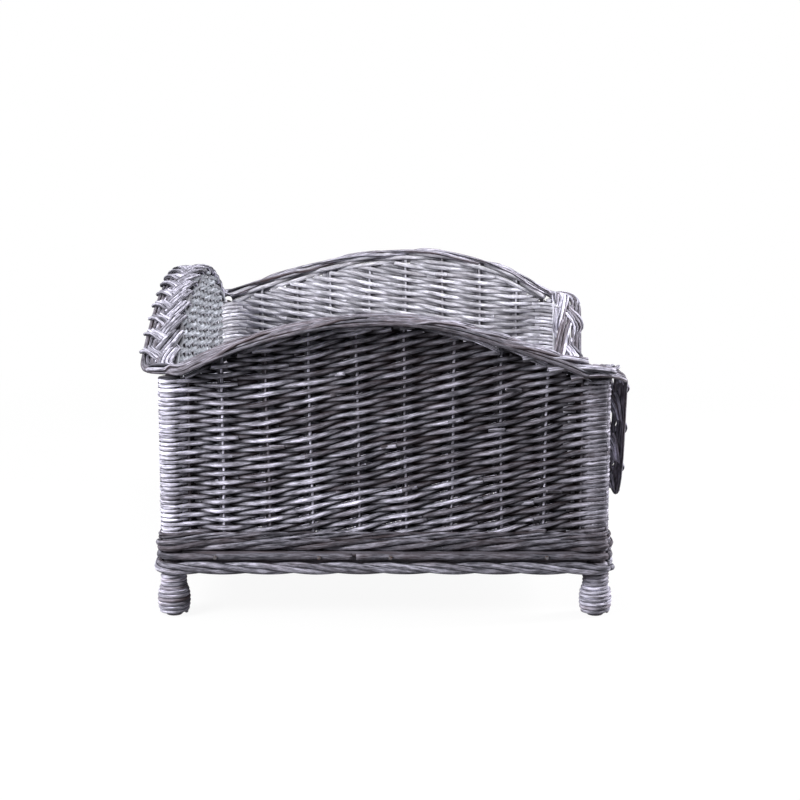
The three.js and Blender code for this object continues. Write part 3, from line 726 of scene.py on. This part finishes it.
def stake_rods(wall, places):
    """Each stake as two upright rods beside its place, with one slight lean and a slow wobble."""
    made = []
    for number, place in enumerate(places):
        height = np.arange(STAKE_FOOT, wall["top"], STAKE_STATION)
        lean = chance.uniform(-STAKE_LEAN, STAKE_LEAN) * (number not in (0, len(places) - 1))
        shift = lean * (0.5 - (height - STAKE_FOOT) / LEAN_OVER) + wander(height, 0.3 * MM)
        share = NEAR_TONES[number] if wall["name"] == "left" else chance.random()
        for side in (-1, 1):
            x = place + side * PAIR_HALF + shift
            keep = under_border(wall, x, height, STAKE_MARGIN)
            path = on_wall(wall, x, side * STAKE_OUT, height)[keep]
            # The inward rod of each pair is painted as dark as a gap, as shade. The outward one stays light.
            made.append(rod(path, wall["out"], STAKE + side * PAIR_UNEVEN, share,
                            outward=np.full(len(path), side * STAKE_SHADE_DEPTH)))
    return made


for name, wall in WALLS.items():
    bundle("wall_stakes_" + name, stake_rods(wall, WALL_STAKES[name]), STAKE_FINISH)

# %% [markdown]
# Under the weavers each post is wound closely with one rod, so that no timber shows between the rows.
# A coil is a circle whose height grows with its angle. The cane on the turned feet is the same, only
# there the circle's radius follows the foot's profile.

# %% The posts' coils
COIL, COIL_STEPS = 2.1 * MM, 20  # a coil's rod, and its stations in a turn
COIL_OUT, COIL_SHIFT = 0.9 * MM, 1.0 * MM  # how far off the post it lies, and how far it is shifted inward
COIL_END = 7 * MM  # how far under the corner's top it ends
COIL_INSIDE, COIL_OUTSIDE = 0.6, 0.42  # its values, near a half, which paint the coil nearly as dark as a gap, as shade
INNER_SIDE = 0.3  # the cosine from which a coil faces the basket's inside


def coil(centre, radius, height, turn, thick, tone=None, inside_and_gap_shade=0.0):
    """A rod round an upright line: (radius cos a, radius sin a, height), with radius and height arrays."""
    away = np.stack([np.cos(turn), np.sin(turn), np.zeros_like(turn)], -1)
    path = centre * (1, 1, 0) + away * np.reshape(radius, (-1, 1)) + np.outer(height, (0, 0, 1))
    return rod(path, away, thick, tone, inside_and_gap_shade)


turns = round((CORNER_TOP - COIL_END - WALL_BOTTOM) / PITCH) - 1
share = np.linspace(0, 1, round(turns * COIL_STEPS))
for corner in CORNER_NAMES:
    centre = middle_of("corner_post_" + corner)
    inside = math.atan2(*(CENTRE - centre)[1::-1])
    turn = inside + 2 * np.pi * turns * share
    facing_in = np.cos(turn - inside)
    # The coil is painted nearly as dark as a gap, outside more than inside, as shade.
    winding = coil(centre, POST_RADIUS + COIL_OUT + COIL_SHIFT * facing_in, FIRST_ROW + share * turns * PITCH,
                   turn, COIL, inside_and_gap_shade=np.where(facing_in > INNER_SIDE, COIL_INSIDE, COIL_OUTSIDE))
    tones = np.interp(share * turns, np.arange(ROW_COUNT), chance.random(ROW_COUNT))
    winding["tone"] = np.repeat(tones[:, None], SIDES, 1)
    bundle("post_coil_" + corner, [winding], WEAVER_FINISH, ["post_wrap_" + corner])

# %% The short rods inside the corners
PACK_START, PACK_BEND, PACK_ASIDE = 35 * MM, 11.5 * MM, 1.5 * MM  # their plan's ends and handles
PACK_STATIONS, PACK_CUT = 16, 3  # each end is cut short by fewer stations than this
PACK_END = 14 * MM  # how far under the corner's top they end


def packing(index):
    """Rods from the last stake of one wall to the first of the next, by way of the post's inner side.
    In plan each is a cubic curve, the same for every row."""
    before, after = WALLS[SIDE_NAMES[index]], WALLS[SIDE_NAMES[(index + 1) % 4]]
    centre = middle_of("corner_post_" + CORNER_NAMES[(index + 1) % 4]) * (1, 1, 0)
    to_corner, away = before["along"], after["along"]
    plan = centre + cubic([-to_corner * PACK_START, PACK_ASIDE * away - PACK_BEND * to_corner,
                           PACK_BEND * away - PACK_ASIDE * to_corner, away * PACK_START], PACK_STATIONS)
    made = []
    for height in np.arange(FIRST_ROW, CORNER_TOP - PACK_END, PITCH):
        heights = height + wander(np.linspace(0, PACK_START, PACK_STATIONS), 0.25 * MM)
        path = plan + np.outer(heights, (0, 0, 1))
        cut = slice(chance.integers(0, PACK_CUT), PACK_STATIONS - chance.integers(0, PACK_CUT))
        # Each rod is painted pale on the side it faces and as dark as a gap elsewhere, as shade.
        made.append(rod(path[cut], away - to_corner, WEAVER * chance.uniform(0.75, 0.9), inside_and_gap_shade=1 - side_shade()))
    return made


for index, name in enumerate(CORNER_NAMES[1:] + CORNER_NAMES[:1]):
    bundle("corner_packing_" + name, packing(index), WEAVER_FINISH)

# %% The cane
CANE, CANE_PITCH = 1.98 * MM, 4 * MM
CANE_STEPS, CANE_TONES = 32, 12  # stations in a turn, and tones on a foot
CANE_SUNK, CANE_OFF_FLOOR = 0.1 * MM, 0.3 * MM  # into the foot, and above the floor
FOOT_PROFILE = np.array([(7.6, 0), (9.7, 2.4), (11.8, 7), (12.7, 13), (12.7, 20), (11.9, 25), (10.3, 28.6),
                         (9.5, 32.5), (9.5, 38), (9.5, 44)]) * MM  # rows of (radius, height)
foot_line = evenly(FOOT_PROFILE, 0.5 * MM)
for _ in range(6):
    foot_line[1:-1] = (foot_line[:-2] + foot_line[1:-1] + foot_line[2:]) / 3
cane_line = foot_line + (CANE - CANE_SUNK) * square_to(foot_line)
over_floor = cane_line[:, 1] > CANE + CANE_OFF_FLOOR
cane_line = cane_line[over_floor & (cane_line[:, 1] < FOOT_PROFILE[-1, 1] - CANE)]
cane_turns = run_along(cane_line)[-1] / CANE_PITCH
cane_line = evenly(cane_line, CANE_PITCH / CANE_STEPS)
turn = 2 * np.pi * np.linspace(0, cane_turns, len(cane_line))
for corner in CORNER_NAMES:
    tones = np.interp(turn / (2 * np.pi), np.arange(CANE_TONES), chance.random(CANE_TONES))
    wound = coil(middle_of("corner_post_" + corner), cane_line[:, 0], cane_line[:, 1], turn, CANE, tones)
    bundle("foot_cane_" + corner, [wound], CANE_FINISH, ["foot_winding_" + corner])
print("cane: %.1f turns on each foot" % cane_turns)

# %% [markdown]
# Rods that run right round the basket need stations for the whole loop: straight along each wall and
# a quarter turn at each corner. Every station keeps the point it is measured from, its outward
# direction and its upward one. The loop starts on a corner's diagonal, so that cutting it at the four
# diagonals gives one piece for each wall, and neighbouring pieces meet exactly.

# %% Stations round the basket
LOOP_STEP = 4 * MM


def wall_stations(wall, inset, line, arc_radius):
    """Stations from the diagonal before a wall to the one after it: half a fan, the line, half a fan.
    A line is rows of (along, height)."""
    line = evenly(line, LOOP_STEP)
    fan = np.linspace(0, np.pi / 4, max(3, round(np.pi / 4 * arc_radius / LOOP_STEP) + 1))
    angle = np.concatenate([-fan[:0:-1], np.zeros(len(line)), fan[1:]])
    line = np.concatenate([np.repeat(line[:1], len(fan) - 1, 0), line, np.repeat(line[-1:], len(fan) - 1, 0)])
    out = np.cos(angle)[:, None] * wall["out"] + np.sin(angle)[:, None] * wall["along"]
    origin = on_wall(wall, line[:, 0], -inset, line[:, 1])
    fanned = np.diff(angle) != 0
    run = np.where(fanned, np.diff(angle) * arc_radius, np.linalg.norm(np.diff(line, axis=0), axis=1))
    return {"origin": origin, "out": out, "run": np.concatenate([[0], np.cumsum(run)]), "x": line[:, 0]}


def loop_stations(inset, lines, arc_radius):
    """The four walls' stations as one closed loop, with the place of each cut and a running distance."""
    parts = [wall_stations(wall, inset, lines[name], arc_radius) for name, wall in WALLS.items()]
    cuts = np.cumsum([0] + [len(part["x"]) - 1 for part in parts])
    ends = np.cumsum([0] + [part["run"][-1] for part in parts])
    loop = {key: np.concatenate([part[key][:-1] for part in parts]) for key in ("origin", "out", "x")}
    loop["run"] = np.concatenate([part["run"][:-1] + start for part, start in zip(parts, ends)])
    loop["side"] = np.repeat(np.arange(4), np.diff(cuts))
    loop["length"], loop["cuts"] = ends[-1], cuts
    return loop


def closed_ring(path, facing, radius, sides=SIDES, inside_and_gap_shade=0.0, tone=None):
    """A rod that closes on itself, as one skin whose last ring repeats its first."""
    ahead = unit(np.roll(path, -1, 0) - np.roll(path, 1, 0))
    again = [np.concatenate([array, array[:1]]) for array in (path, facing, ahead)]
    radius = np.broadcast_to(radius, len(path))
    return rod(again[0], again[1], np.append(radius, radius[0]), tone, inside_and_gap_shade, sides=sides, tangent=again[2])


def by_side(loop):
    """Each side's name, with the first and the last station of its part of a loop."""
    return zip(SIDE_NAMES, loop["cuts"], loop["cuts"][1:])


def cut_at(skins, first, last):
    """The stretch of each skin between two stations, both kept."""
    return [{key: value[first:last + 1] for key, value in skin.items()} for skin in skins]


BASE_ARC = 14 * MM  # the base rods' turn round a post
base_lines = {name: np.array([(-wall["span"], 0.0), (wall["span"], 0.0)]) for name, wall in WALLS.items()}
base_loop = loop_stations(0.0, base_lines, BASE_ARC)
print("round the base: %.2f m, %d stations" % (base_loop["length"], len(base_loop["x"])))

# %% [markdown]
# A wale is rods twisted together as they go round: three here. Each rod's place in the twist is an
# ellipse, out by cos a and up by sin a, and the angle grows with the distance along the base. The
# lower wale twists down to the right and the upper one, which holds the foot of the stakes, up.
# Four thinner rods lie along the top of the upper one, and two plain rods lie hidden behind it.

# %% The two wales
FOOT_WALE, UPSET_WALE, THIN_WALE, HIDDEN = 3.2 * MM, 3.05 * MM, 1.6 * MM, 2.5 * MM  # the rods' radii
FOOT_OUT, UPSET_OUT, UPSET_IN = 13.6 * MM, 13.2 * MM, 6.5 * MM  # how far out the wales are
UPSET_EASE = 32 * MM  # over this stretch from a post the upset wale comes in by UPSET_IN
UPSET_SWING, MORE_SWING = 1.2, 2.4  # beside a post, and how much more mid-wall, in mm
STRAND_TONE = 0.2  # from one strand to the next


def wale(strands, radius, lay, out_at, out_swing, up_at, up_swing, tone):
    """Twisted rods: out_at + out_swing cos a, up_at + up_swing sin a, a growing by a turn each lay."""
    run, length = base_loop["run"], base_loop["length"]
    turns = round(length / abs(lay)) * np.sign(lay)
    angle = 2 * np.pi * turns * run / length
    made = []
    for strand in range(strands):
        a = angle + 2 * np.pi * strand / strands
        outward = out_at + out_swing * np.cos(a) + wander(run, 0.2 * MM, length / 9)
        height = up_at + up_swing * np.sin(a) + wander(run, 0.3 * MM, length / 11)
        path = base_loop["origin"] + base_loop["out"] * outward[:, None] + np.outer(height, (0, 0, 1))
        # Each strand's sides and inner side are painted dark, as shade where the strands lie against each
        # other.
        made.append(closed_ring(path, base_loop["out"], radius, inside_and_gap_shade=side_shade(0.35),
                                tone=tone + STRAND_TONE * strand))
    return made


def between(low, high):
    """The middle and half of two heights."""
    return (low + high) / 2, (high - low) / 2


wale_middle, wale_half = between(*(corner.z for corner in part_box("foot_wale_left")))
foot_wale = wale(3, FOOT_WALE, lay=-140 * MM, out_at=FOOT_OUT, out_swing=2.4 * MM,
                 up_at=wale_middle, up_swing=wale_half - FOOT_WALE, tone=0.5)
upset_low, upset_high = (corner.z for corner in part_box("upset_wale_left"))
upset_middle, upset_half = between(upset_low, upset_high)
near_post = np.array([WALLS[SIDE_NAMES[side]]["span"] for side in base_loop["side"]]) - abs(base_loop["x"])
beside = np.clip(near_post / UPSET_EASE, 0, 1)
beside = beside * beside * (3 - 2 * beside)
upset_out = UPSET_OUT - UPSET_IN * beside
upset_wale = wale(3, UPSET_WALE, lay=135 * MM, out_at=upset_out,
                  out_swing=(UPSET_SWING + MORE_SWING * beside) * MM, up_at=upset_middle - 1.5 * MM,
                  up_swing=upset_half - UPSET_WALE - MM, tone=0.1)
upset_wale += wale(4, THIN_WALE, lay=110 * MM, out_at=upset_out - MM, out_swing=0.8 * MM,
                   up_at=upset_high - 0.5 * MM, up_swing=2.6 * MM, tone=0.0)
# The hidden rods' value of 0.46 paints them nearly as dark as a gap, as shade.
for above in (2 * MM, 6 * MM):
    path = base_loop["origin"] + base_loop["out"] * (upset_out - 4 * MM)[:, None]
    path = path + np.array((0, 0, upset_low + above))
    upset_wale.append(closed_ring(path, base_loop["out"], HIDDEN, inside_and_gap_shade=0.46, tone=0.0))
for name, first, last in by_side(base_loop):
    for piece, skins in (("foot_wale", foot_wale), ("upset_wale", upset_wale)):
        bundle(piece + "_rods_" + name, cut_at(skins, first, last), BASE_FINISH, [piece + "_" + name])

# %% [markdown]
# Between the wales runs one straight rod, nailed to the battens behind it. Each nail pinched the rod
# a little when it was driven in, so the rod's radius dips beside every nail: one minus a bell curve.

# %% The nailed hoop
hoop_low, hoop_high = box_of("base_hoop_right")
HOOP = (hoop_high - hoop_low)[2] / 2 * 1.03  # 3% more, because flat sides make a ring look thinner
HOOP_GAP, HOOP_HALF = 0.3 * MM, 3.5 * MM  # from a post's side to the rod, and on to its middle
HOOP_SIDES = 12
NAIL_IN = 8 * MM  # how far inward of the rod's middle a nail's middle is
PINCH, PINCH_LENGTH = 0.16, 4 * MM
hoop_path = (base_loop["origin"] + base_loop["out"] * (POST_RADIUS + HOOP_GAP + HOOP_HALF)
             + np.array((0, 0, (hoop_low + hoop_high)[2] / 2)))
nails = np.array([middle_of(name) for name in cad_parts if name.startswith("nail_")])
to_nail = np.linalg.norm((hoop_path[:, None] - nails)[..., :2], axis=-1).min(1)
hoop_radius = HOOP * (1 - PINCH * np.exp(-((to_nail - NAIL_IN) / PINCH_LENGTH) ** 2))
hoop_skin = closed_ring(hoop_path, base_loop["out"], hoop_radius, HOOP_SIDES, tone=0.2)
hoop_parts = {name: (first, last) for name, first, last in by_side(base_loop)}
first, last = hoop_parts.pop("left")
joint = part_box("base_hoop_left_rear")[1].x - CENTRE[0]
split = first + int(np.argmax(base_loop["x"][first:] > joint))
hoop_parts.update(left_rear=(first, split - 1), left_front=(split, last))
for name, (first, last) in hoop_parts.items():
    bundle("hoop_rod_" + name, cut_at([hoop_skin], first, last), BASE_FINISH, ["base_hoop_" + name])

# %% [markdown]
# The border is a plait of three strands, and each strand is four rods side by side. From above a
# strand swings between the two edges like sin a. Its height goes like -sin 2a with flattened tops, so
# that it lies on top from each edge to the middle and passes under beyond it, and it tilts, one edge
# up and one down. The plait lies on a band that is level near its crest and rolls over and under at its
# outer edge. Plain rods lie inside the plait, a little below its middle, and close it against light.

# %% The border's sizes
STRANDS, STRAND_RODS = 3, 4
PLAIT_ROD, PLAIT_STEP = 1.95 * MM, 3.6 * MM  # a rod's radius, and the distance between two of a strand
STRAND_HALF = (STRAND_RODS - 1) / 2 * PLAIT_STEP + PLAIT_ROD
LIFTS = {"front": 2.4 * MM, "right": 1.2 * MM, "back": 2.4 * MM, "left": 1.2 * MM}  # a strand's rise
LAYS = {"front": 140 * MM, "right": 300 * MM, "back": 114 * MM, "left": 300 * MM}
DROOPS = {"front": 8 * MM, "right": 1 * MM, "back": 2 * MM, "left": 1 * MM}  # of the outer edge
ROLLS = {"front": 8 * MM, "right": 4 * MM, "back": 6 * MM, "left": 3 * MM}  # the roll's radius
# Each side's tone scale also paints light and shade: the near side darker, the entry lighter.
PLAIT_TONES_AND_LIGHT = {"front": 1.2, "right": 0.85, "back": 0.85, "left": 0.35}
PLAIT_TILT = 1.6 * MM
BORDER_INSIDE = 7 * MM  # how far the border reaches inward of the stakes' line
CREST_OUT = 10 * MM  # how far outward of that line its crest is
DROOP_OVER, SUNK = 15 * MM, 2.5 * MM  # how long the droop takes, and how low the inner edge lies
ROLL_TURN = 1.5  # how far the band turns over the roll, in radians
SKEW, SKEW_PLACE = 0.5, np.pi / 6  # how much slower a strand goes near one place in its turn, and where
SLOW_ON_TOP = 0.1  # how much slower it goes where it lies on top than where it passes under
FLATTENED = 2.5  # how flat the strands lie on top
ROUND_OFF = 30 * MM  # how much of the outer edge is missing on the corners' diagonals
CORNER_DROOP = 7 * MM  # how much lower the outer edge hangs there
FRONT_EXTRA = 3.5 * MM  # how much more than its frame the entry's border stands out
RIM_ARC = 15 * MM  # the crest's turn at a corner
EASINGS = 40  # how many times values are eased from side to side


def ease_round(values, times):
    """Smooths a closed line: every value becomes the mean of itself and its two neighbours' mean."""
    for _ in range(times):
        values = values / 2 + (np.roll(values, 1, 0) + np.roll(values, -1, 0)) / 4
    return values


def side_values(values, times=EASINGS):
    """The sides' values at all the rim's stations, eased from each side to the next."""
    return ease_round(np.array([values[name] for name in SIDE_NAMES])[rim["side"]], times)


# %% The rim's stations and its band
rim = loop_stations(CORNER_STEP, CRESTS, CORNER_STEP + RIM_ARC)
rim["origin"] = np.concatenate([rim["origin"][:, :2], ease_round(rim["origin"][:, 2:], 8)], 1)
rim_line = rim["origin"] + rim["out"] * RIM_ARC
rim_ahead = unit(np.roll(rim_line, -1, 0) - np.roll(rim_line, 1, 0))
rim["lift"] = unit(ease_round(np.cross(rim["out"], rim_ahead), 6))
lips = side_values({name: wall["lip"] + FRONT_EXTRA * (name == "front") for name, wall in WALLS.items()})
on_fan = ease_round(abs(rim["out"][:, 0] * rim["out"][:, 1]) * 2, 12)
outer_edge = WRAP_RADIUS + lips - ROUND_OFF * on_fan
lays, lifts, rolls = side_values(LAYS), side_values(LIFTS), side_values(ROLLS)
droops = side_values(DROOPS) + CORNER_DROOP * on_fan
rim_tones_and_light = side_values(PLAIT_TONES_AND_LIGHT, 20)
advance = np.diff(np.append(rim["run"], rim["length"])) / lays
rim_turns = np.concatenate([[0], np.cumsum(advance)[:-1]])
rim_angle = 2 * np.pi * rim_turns * round(advance.sum()) / advance.sum()
roll_start = outer_edge - rolls - lifts - PLAIT_ROD
band_half = (roll_start + rolls * ROLL_TURN + BORDER_INSIDE) / 2
print("the plait turns %.1f times round the rim" % advance.sum())


def on_band(place, above):
    """The path and the facing of a rod at a place across the band, measured along its surface, and
    above it. Up to the roll the place is the distance outward. On the roll, with the turn
    p = (place - start) / R, it is outward by start + (R + above) sin p, up by (R + above) cos p - R."""
    turn = np.clip((place - roll_start) / rolls, 0, None)
    level = np.minimum(place, roll_start)
    droop = droops * np.clip((level - CREST_OUT) / DROOP_OVER, 0, 1) ** 2
    sunk = SUNK * np.clip((CREST_OUT - level) / (CREST_OUT + BORDER_INSIDE), 0, None) ** 2
    outward = level + (rolls + above) * np.sin(turn)
    height = (rolls + above) * np.cos(turn) - rolls - lifts - PLAIT_ROD - droop - sunk
    facing = rim["lift"] * np.cos(turn)[:, None] + rim["out"] * np.sin(turn)[:, None]
    return (rim["origin"] + rim["out"] * (CORNER_STEP + outward)[:, None]
            + rim["lift"] * height[:, None]), facing


# %% The plaited border
FILLING = 2 * MM
FILLING_PLACES = (0.25, 0.38, 0.51, 0.64, 0.77, 0.89, 1.0)  # as shares of the way across the band
FILLING_SUNK = -0.4  # how far below the plait's middle they lie, as a share of its rise
TONE_COUNT, TONE_STATIONS = 20, 60  # a rod's tones along the rim, and how long each lasts


def plait(strand, place):
    """A strand's rod: across = swing sin a, height = -lift tanh(2.5 sin 2a) - tilt cos a."""
    a = rim_angle + 2 * np.pi * strand / STRANDS
    a = a - SKEW * np.sin(a + SKEW_PLACE) - SLOW_ON_TOP * np.cos(2 * a) / 2
    swing = band_half - STRAND_HALF
    slope = swing * np.cos(a) * 2 * np.pi / lays
    beside = (place - (STRAND_RODS - 1) / 2) * PLAIT_STEP
    across = swing * np.sin(a) + beside * np.sqrt(1 + slope**2)
    across = band_half - BORDER_INSIDE + across + wander(rim["run"], 0.3 * MM, rim["length"] / 17)
    height = -lifts * np.tanh(FLATTENED * np.sin(2 * a)) - PLAIT_TILT * np.cos(a) * beside / STRAND_HALF
    height = height + wander(rim["run"], 0.25 * MM, rim["length"] / 13)
    path, facing = on_band(across, height)
    tone = np.repeat(chance.random(TONE_COUNT), TONE_STATIONS)[:len(path)]
    # The side's scale paints the border lighter or darker by side, as light and shade. The rest is random
    # tone.
    tone = rim_tones_and_light * ease_round(tone, 3)
    # The top and the bottom of each rod stay pale. Its sides are painted dark, as shade between the rods.
    return closed_ring(path, facing, PLAIT_ROD * chance.uniform(0.93, 1.04), inside_and_gap_shade=side_shade(0.36, True),
                       tone=np.append(tone, tone[0]))


def filling(share):
    """A plain rod inside the plait, at a share of the way from its inner edge to its outer."""
    path, facing = on_band(share * 2 * band_half - BORDER_INSIDE, FILLING_SUNK * lifts)
    # Its sides are painted dark, as shade inside the plait.
    return closed_ring(path, facing, FILLING, inside_and_gap_shade=side_shade(both=True), tone=0.2)


plait_skins = [plait(strand, place) for strand in range(STRANDS) for place in range(STRAND_RODS)]
filling_skins = [filling(share) for share in FILLING_PLACES]
for name, first, last in by_side(rim):
    finish = BORDER_BACK_FINISH if name == "back" else BORDER_FINISH
    bundle("border_plait_" + name, cut_at(plait_skins, first, last), finish,
           ["plaited_border_" + name])
    bundle("border_filling_" + name, cut_at(filling_skins, first, last), BASE_FINISH)

# %% [markdown]
# Towards the front of the near wall the border was finished by hand. Strands of three rods come from
# under the rim, lie over it one after the other like shingles, and end in a point or a square cut.
# Thin trimmed ends show in the dark beneath, and a few cut butts stick out of the weave.

# %% Shingled strands
SHINGLE, SHINGLE_OUT, SHINGLE_DOWN = 1.8 * MM, 3.5, 0.8  # radius, and from rod to rod in mm
CURVE_STATIONS = 14
POINTED = ((15, 88), (66, 130), (108, 172))  # where pointed strands start and end, in mm along the wall
SQUARE_CUT = (((135, 22, 263), (155, 26, 267), (178, 16, 263), (199, 8, 258)),
              ((160, 22, 252), (182, 27, 257), (205, 18, 254), (226, 10, 249)),
              ((182, 22, 243), (204, 25, 249), (224, 10, 247), (237, -6, 238)))


def laid(points):
    """A curved path on the near wall from four places (along, outward, height), all in mm."""
    return on_wall(WALLS["left"], *(cubic(points, CURVE_STATIONS).T * MM))


def crest_at(x):
    """The near wall's crest above a place along it, in mm."""
    return np.interp(x * MM, *CRESTS["left"].T) / MM


def shingle(points, tip):
    """Three rods side by side along a path, whose radius goes to a share of itself at the tip."""
    made = []
    for beside in (-1, 0, 1):
        aside = np.array([(0, SHINGLE_OUT * beside, -SHINGLE_DOWN * beside)] * 4)
        taper = np.interp(np.linspace(0, 1, CURVE_STATIONS), (0, 0.7, 1), (1, 1, tip))
        path = laid(np.array(points) + aside + chance.uniform(-0.6, 0.6, (4, 3)))
        # Each rod is painted dark on its sides and underside, as shade.
        made.append(rod(path, (0, 0, 1), SHINGLE * taper, tone=chance.uniform(0.3, 0.9), inside_and_gap_shade=side_shade()))
    return made


shingles = []
for start, end in POINTED:
    length = end - start
    shingles += shingle([(start, 20, crest_at(start) - 11), (start + 0.3 * length, 25, crest_at(start) - 6),
                         (start + 0.65 * length, 14, crest_at(start + 0.6 * length)),
                         (end, 5, crest_at(end) - 1)], tip=0.35)
for points in SQUARE_CUT:
    shingles += shingle(points, tip=1)
bundle("border_shingles_left", shingles, BORDER_FINISH)

# %% Trimmed tips and cut butts
TIP, BUTT = 1.0 * MM, 1.8 * MM  # the rods' radii
TIPS = ((76, 6), (123, 4), (166, 4))  # where bunches of tips start, in mm, and how many they have
BUTTS = ((160, 127, -1), (160, 87, 1), (57, 69, -1), (119, 229, -1), (119, 189, 1), (-98, 172, 1))

trimmed = []
for start, count in TIPS:
    base = crest_at(start) - 12
    for _ in range(count):
        drop = chance.uniform(2, 9)
        path = laid([(start, 12, base), (start + 8, 18, base - 0.3 * drop),
                     (start + 20, 22, base - 0.8 * drop),
                     (start + chance.uniform(28, 38), 20, base - 6 - drop)])
        thinning = np.linspace(1, 0.4, CURVE_STATIONS)
        trimmed.append(rod(path, (0, 0, 1), TIP * thinning, tone=chance.random(), sides=6))
for x, z, way in BUTTS:
    path = laid([(x - 16 * way, 2, z - 1), (x - 10 * way, 4, z), (x - 5 * way, 7, z + 0.5), (x, 9.5, z + 1)])
    # Each butt is painted dark on its sides and underside, as shade.
    trimmed.append(rod(path, (0, 0, 1), BUTT, tone=0.15, inside_and_gap_shade=side_shade()))
bundle("trimmed_ends_left", trimmed, WEAVER_FINISH)

# %% [markdown]
# The floor of the basket is woven too: flat ribs run from front to back, and weavers cross them one
# by one. It is the walls' weave laid down, with the cosine now lifting and lowering each weaver.

# %% The woven floor
mat_low, mat_high = box_of("base_panel")
MAT_HALF, MAT_MIDDLE = (mat_high - mat_low)[:2] / 2, (mat_low + mat_high) / 2
MAT_CORNER = 14 * MM  # how much of the floor's corners is cut off for the posts
MAT_ROD, MAT_SWING, MAT_STATION = 2.05 * MM, 2 * MM, 7 * MM
RIB, RIB_WIDE, RIB_STATIONS = 1.1 * MM, 3.2, 30  # a rib's half height, how much wider it is, its stations
RIB_GAP, RIB_EDGE = 33 * MM, 8 * MM  # between ribs, and from the last one to the floor's edge


def across_mat(direction, other, count):
    """Stations across the floor in one direction, at a place in the other, less at the corners."""
    reach = MAT_HALF[direction] - max(0, MAT_CORNER - (MAT_HALF[1 - direction] - abs(other)))
    return np.linspace(-reach, reach, count or round(2 * reach / MAT_STATION))


ribs = np.linspace(-MAT_HALF[1] + RIB_EDGE, MAT_HALF[1] - RIB_EDGE, round(2 * MAT_HALF[1] / RIB_GAP))
mat_rods = []
for row, x in enumerate(np.arange(-MAT_HALF[0] + MAT_ROD, MAT_HALF[0] - MAT_ROD, PITCH)):
    y = across_mat(1, x, None)
    height = MAT_SWING * np.cos(np.pi * (counted(y, ribs) + row % 2)) + wander(y, 0.12 * MM)
    path = MAT_MIDDLE + np.stack([x + wander(y, 0.3 * MM), y, height], 1)
    mat_rods.append(rod(path, (0, 0, 1), MAT_ROD * chance.uniform(0.9, 1.05), sides=6))
for y in ribs:
    x = across_mat(0, y, RIB_STATIONS)
    mat_rods.append(rod(MAT_MIDDLE + np.stack([x, y + 0 * x, 0 * x], 1), (0, 0, 1), RIB, wide=RIB_WIDE))
bundle("woven_floor", mat_rods, MAT_SHADED_FINISH, ["base_panel"])

# %% [markdown]
# The posts, battens and nails are the CAD model's own meshes: their shapes are right, and they only
# need a finish. Timber takes its grain from Object coordinates, stretched along the piece. The nails
# are dull steel with a little rust.

# %% Timber and nails
TIMBER, given, result = new_group("grey_timber", [
    ("Pale", "Color", grey(0.3)), ("Deep", "Color", grey(0.12, 0.4)), ("Stretch", "Vector", (1, 1, 1))])
place = node(TIMBER, "TexCoord")["Object"]
stretched = node(TIMBER, "VectorMath", {0: place, 1: given["Stretch"]}, operation="MULTIPLY")[0]
fibres = noise(stretched, 600, detail=5.0)
mixture = maths("MULTIPLY", ranged(fibres, 0.3, 0.7), ranged(noise(place, 40), 0.2, 0.8, 0.5, 1))
put_out(result, blend_colours(mixture, given["Deep"], given["Pale"]), ranged(fibres, 0.3, 0.7, 0.6, 0.85),
        fibres)

STEEL, given, result = new_group("dull_steel", [
    ("Bare", "Color", (0.16, 0.16, 0.18, 1)), ("Rust", "Color", (0.09, 0.045, 0.03, 1))])
pitting = noise(node(STEEL, "TexCoord")["Object"], 900)
put_out(result, blend_colours(ranged(pitting, 0.45, 0.65), given["Bare"], given["Rust"]),
        ranged(pitting, 0.3, 0.7, 0.35, 0.65), pitting)


def timber(name, stretch):
    return shaded(name, TIMBER, {"Stretch": stretch}, bump=0.5 * MM, Specular_IOR_Level=0.3)


lengthwise = timber("batten_lengthwise", (0.05, 1, 1))
crosswise = timber("batten_crosswise", (1, 0.05, 1))
FINISHES = {"corner_post": timber("post_timber", (1, 1, 0.05)), "base_slat": lengthwise,
            "base_rail_left": lengthwise, "base_rail_right": lengthwise,
            "base_rail_front": crosswise, "base_rail_back": crosswise,
            "nail": shaded("nail_head_steel", STEEL, {}, bump=0.1 * MM, Metallic=0.7)}
for name, cad_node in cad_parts.items():
    for start, finish in FINISHES.items():
        if name.startswith(start):
            cad_node.data.materials.clear()
            cad_node.data.materials.append(finish)
print("finished", len(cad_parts), "nodes")
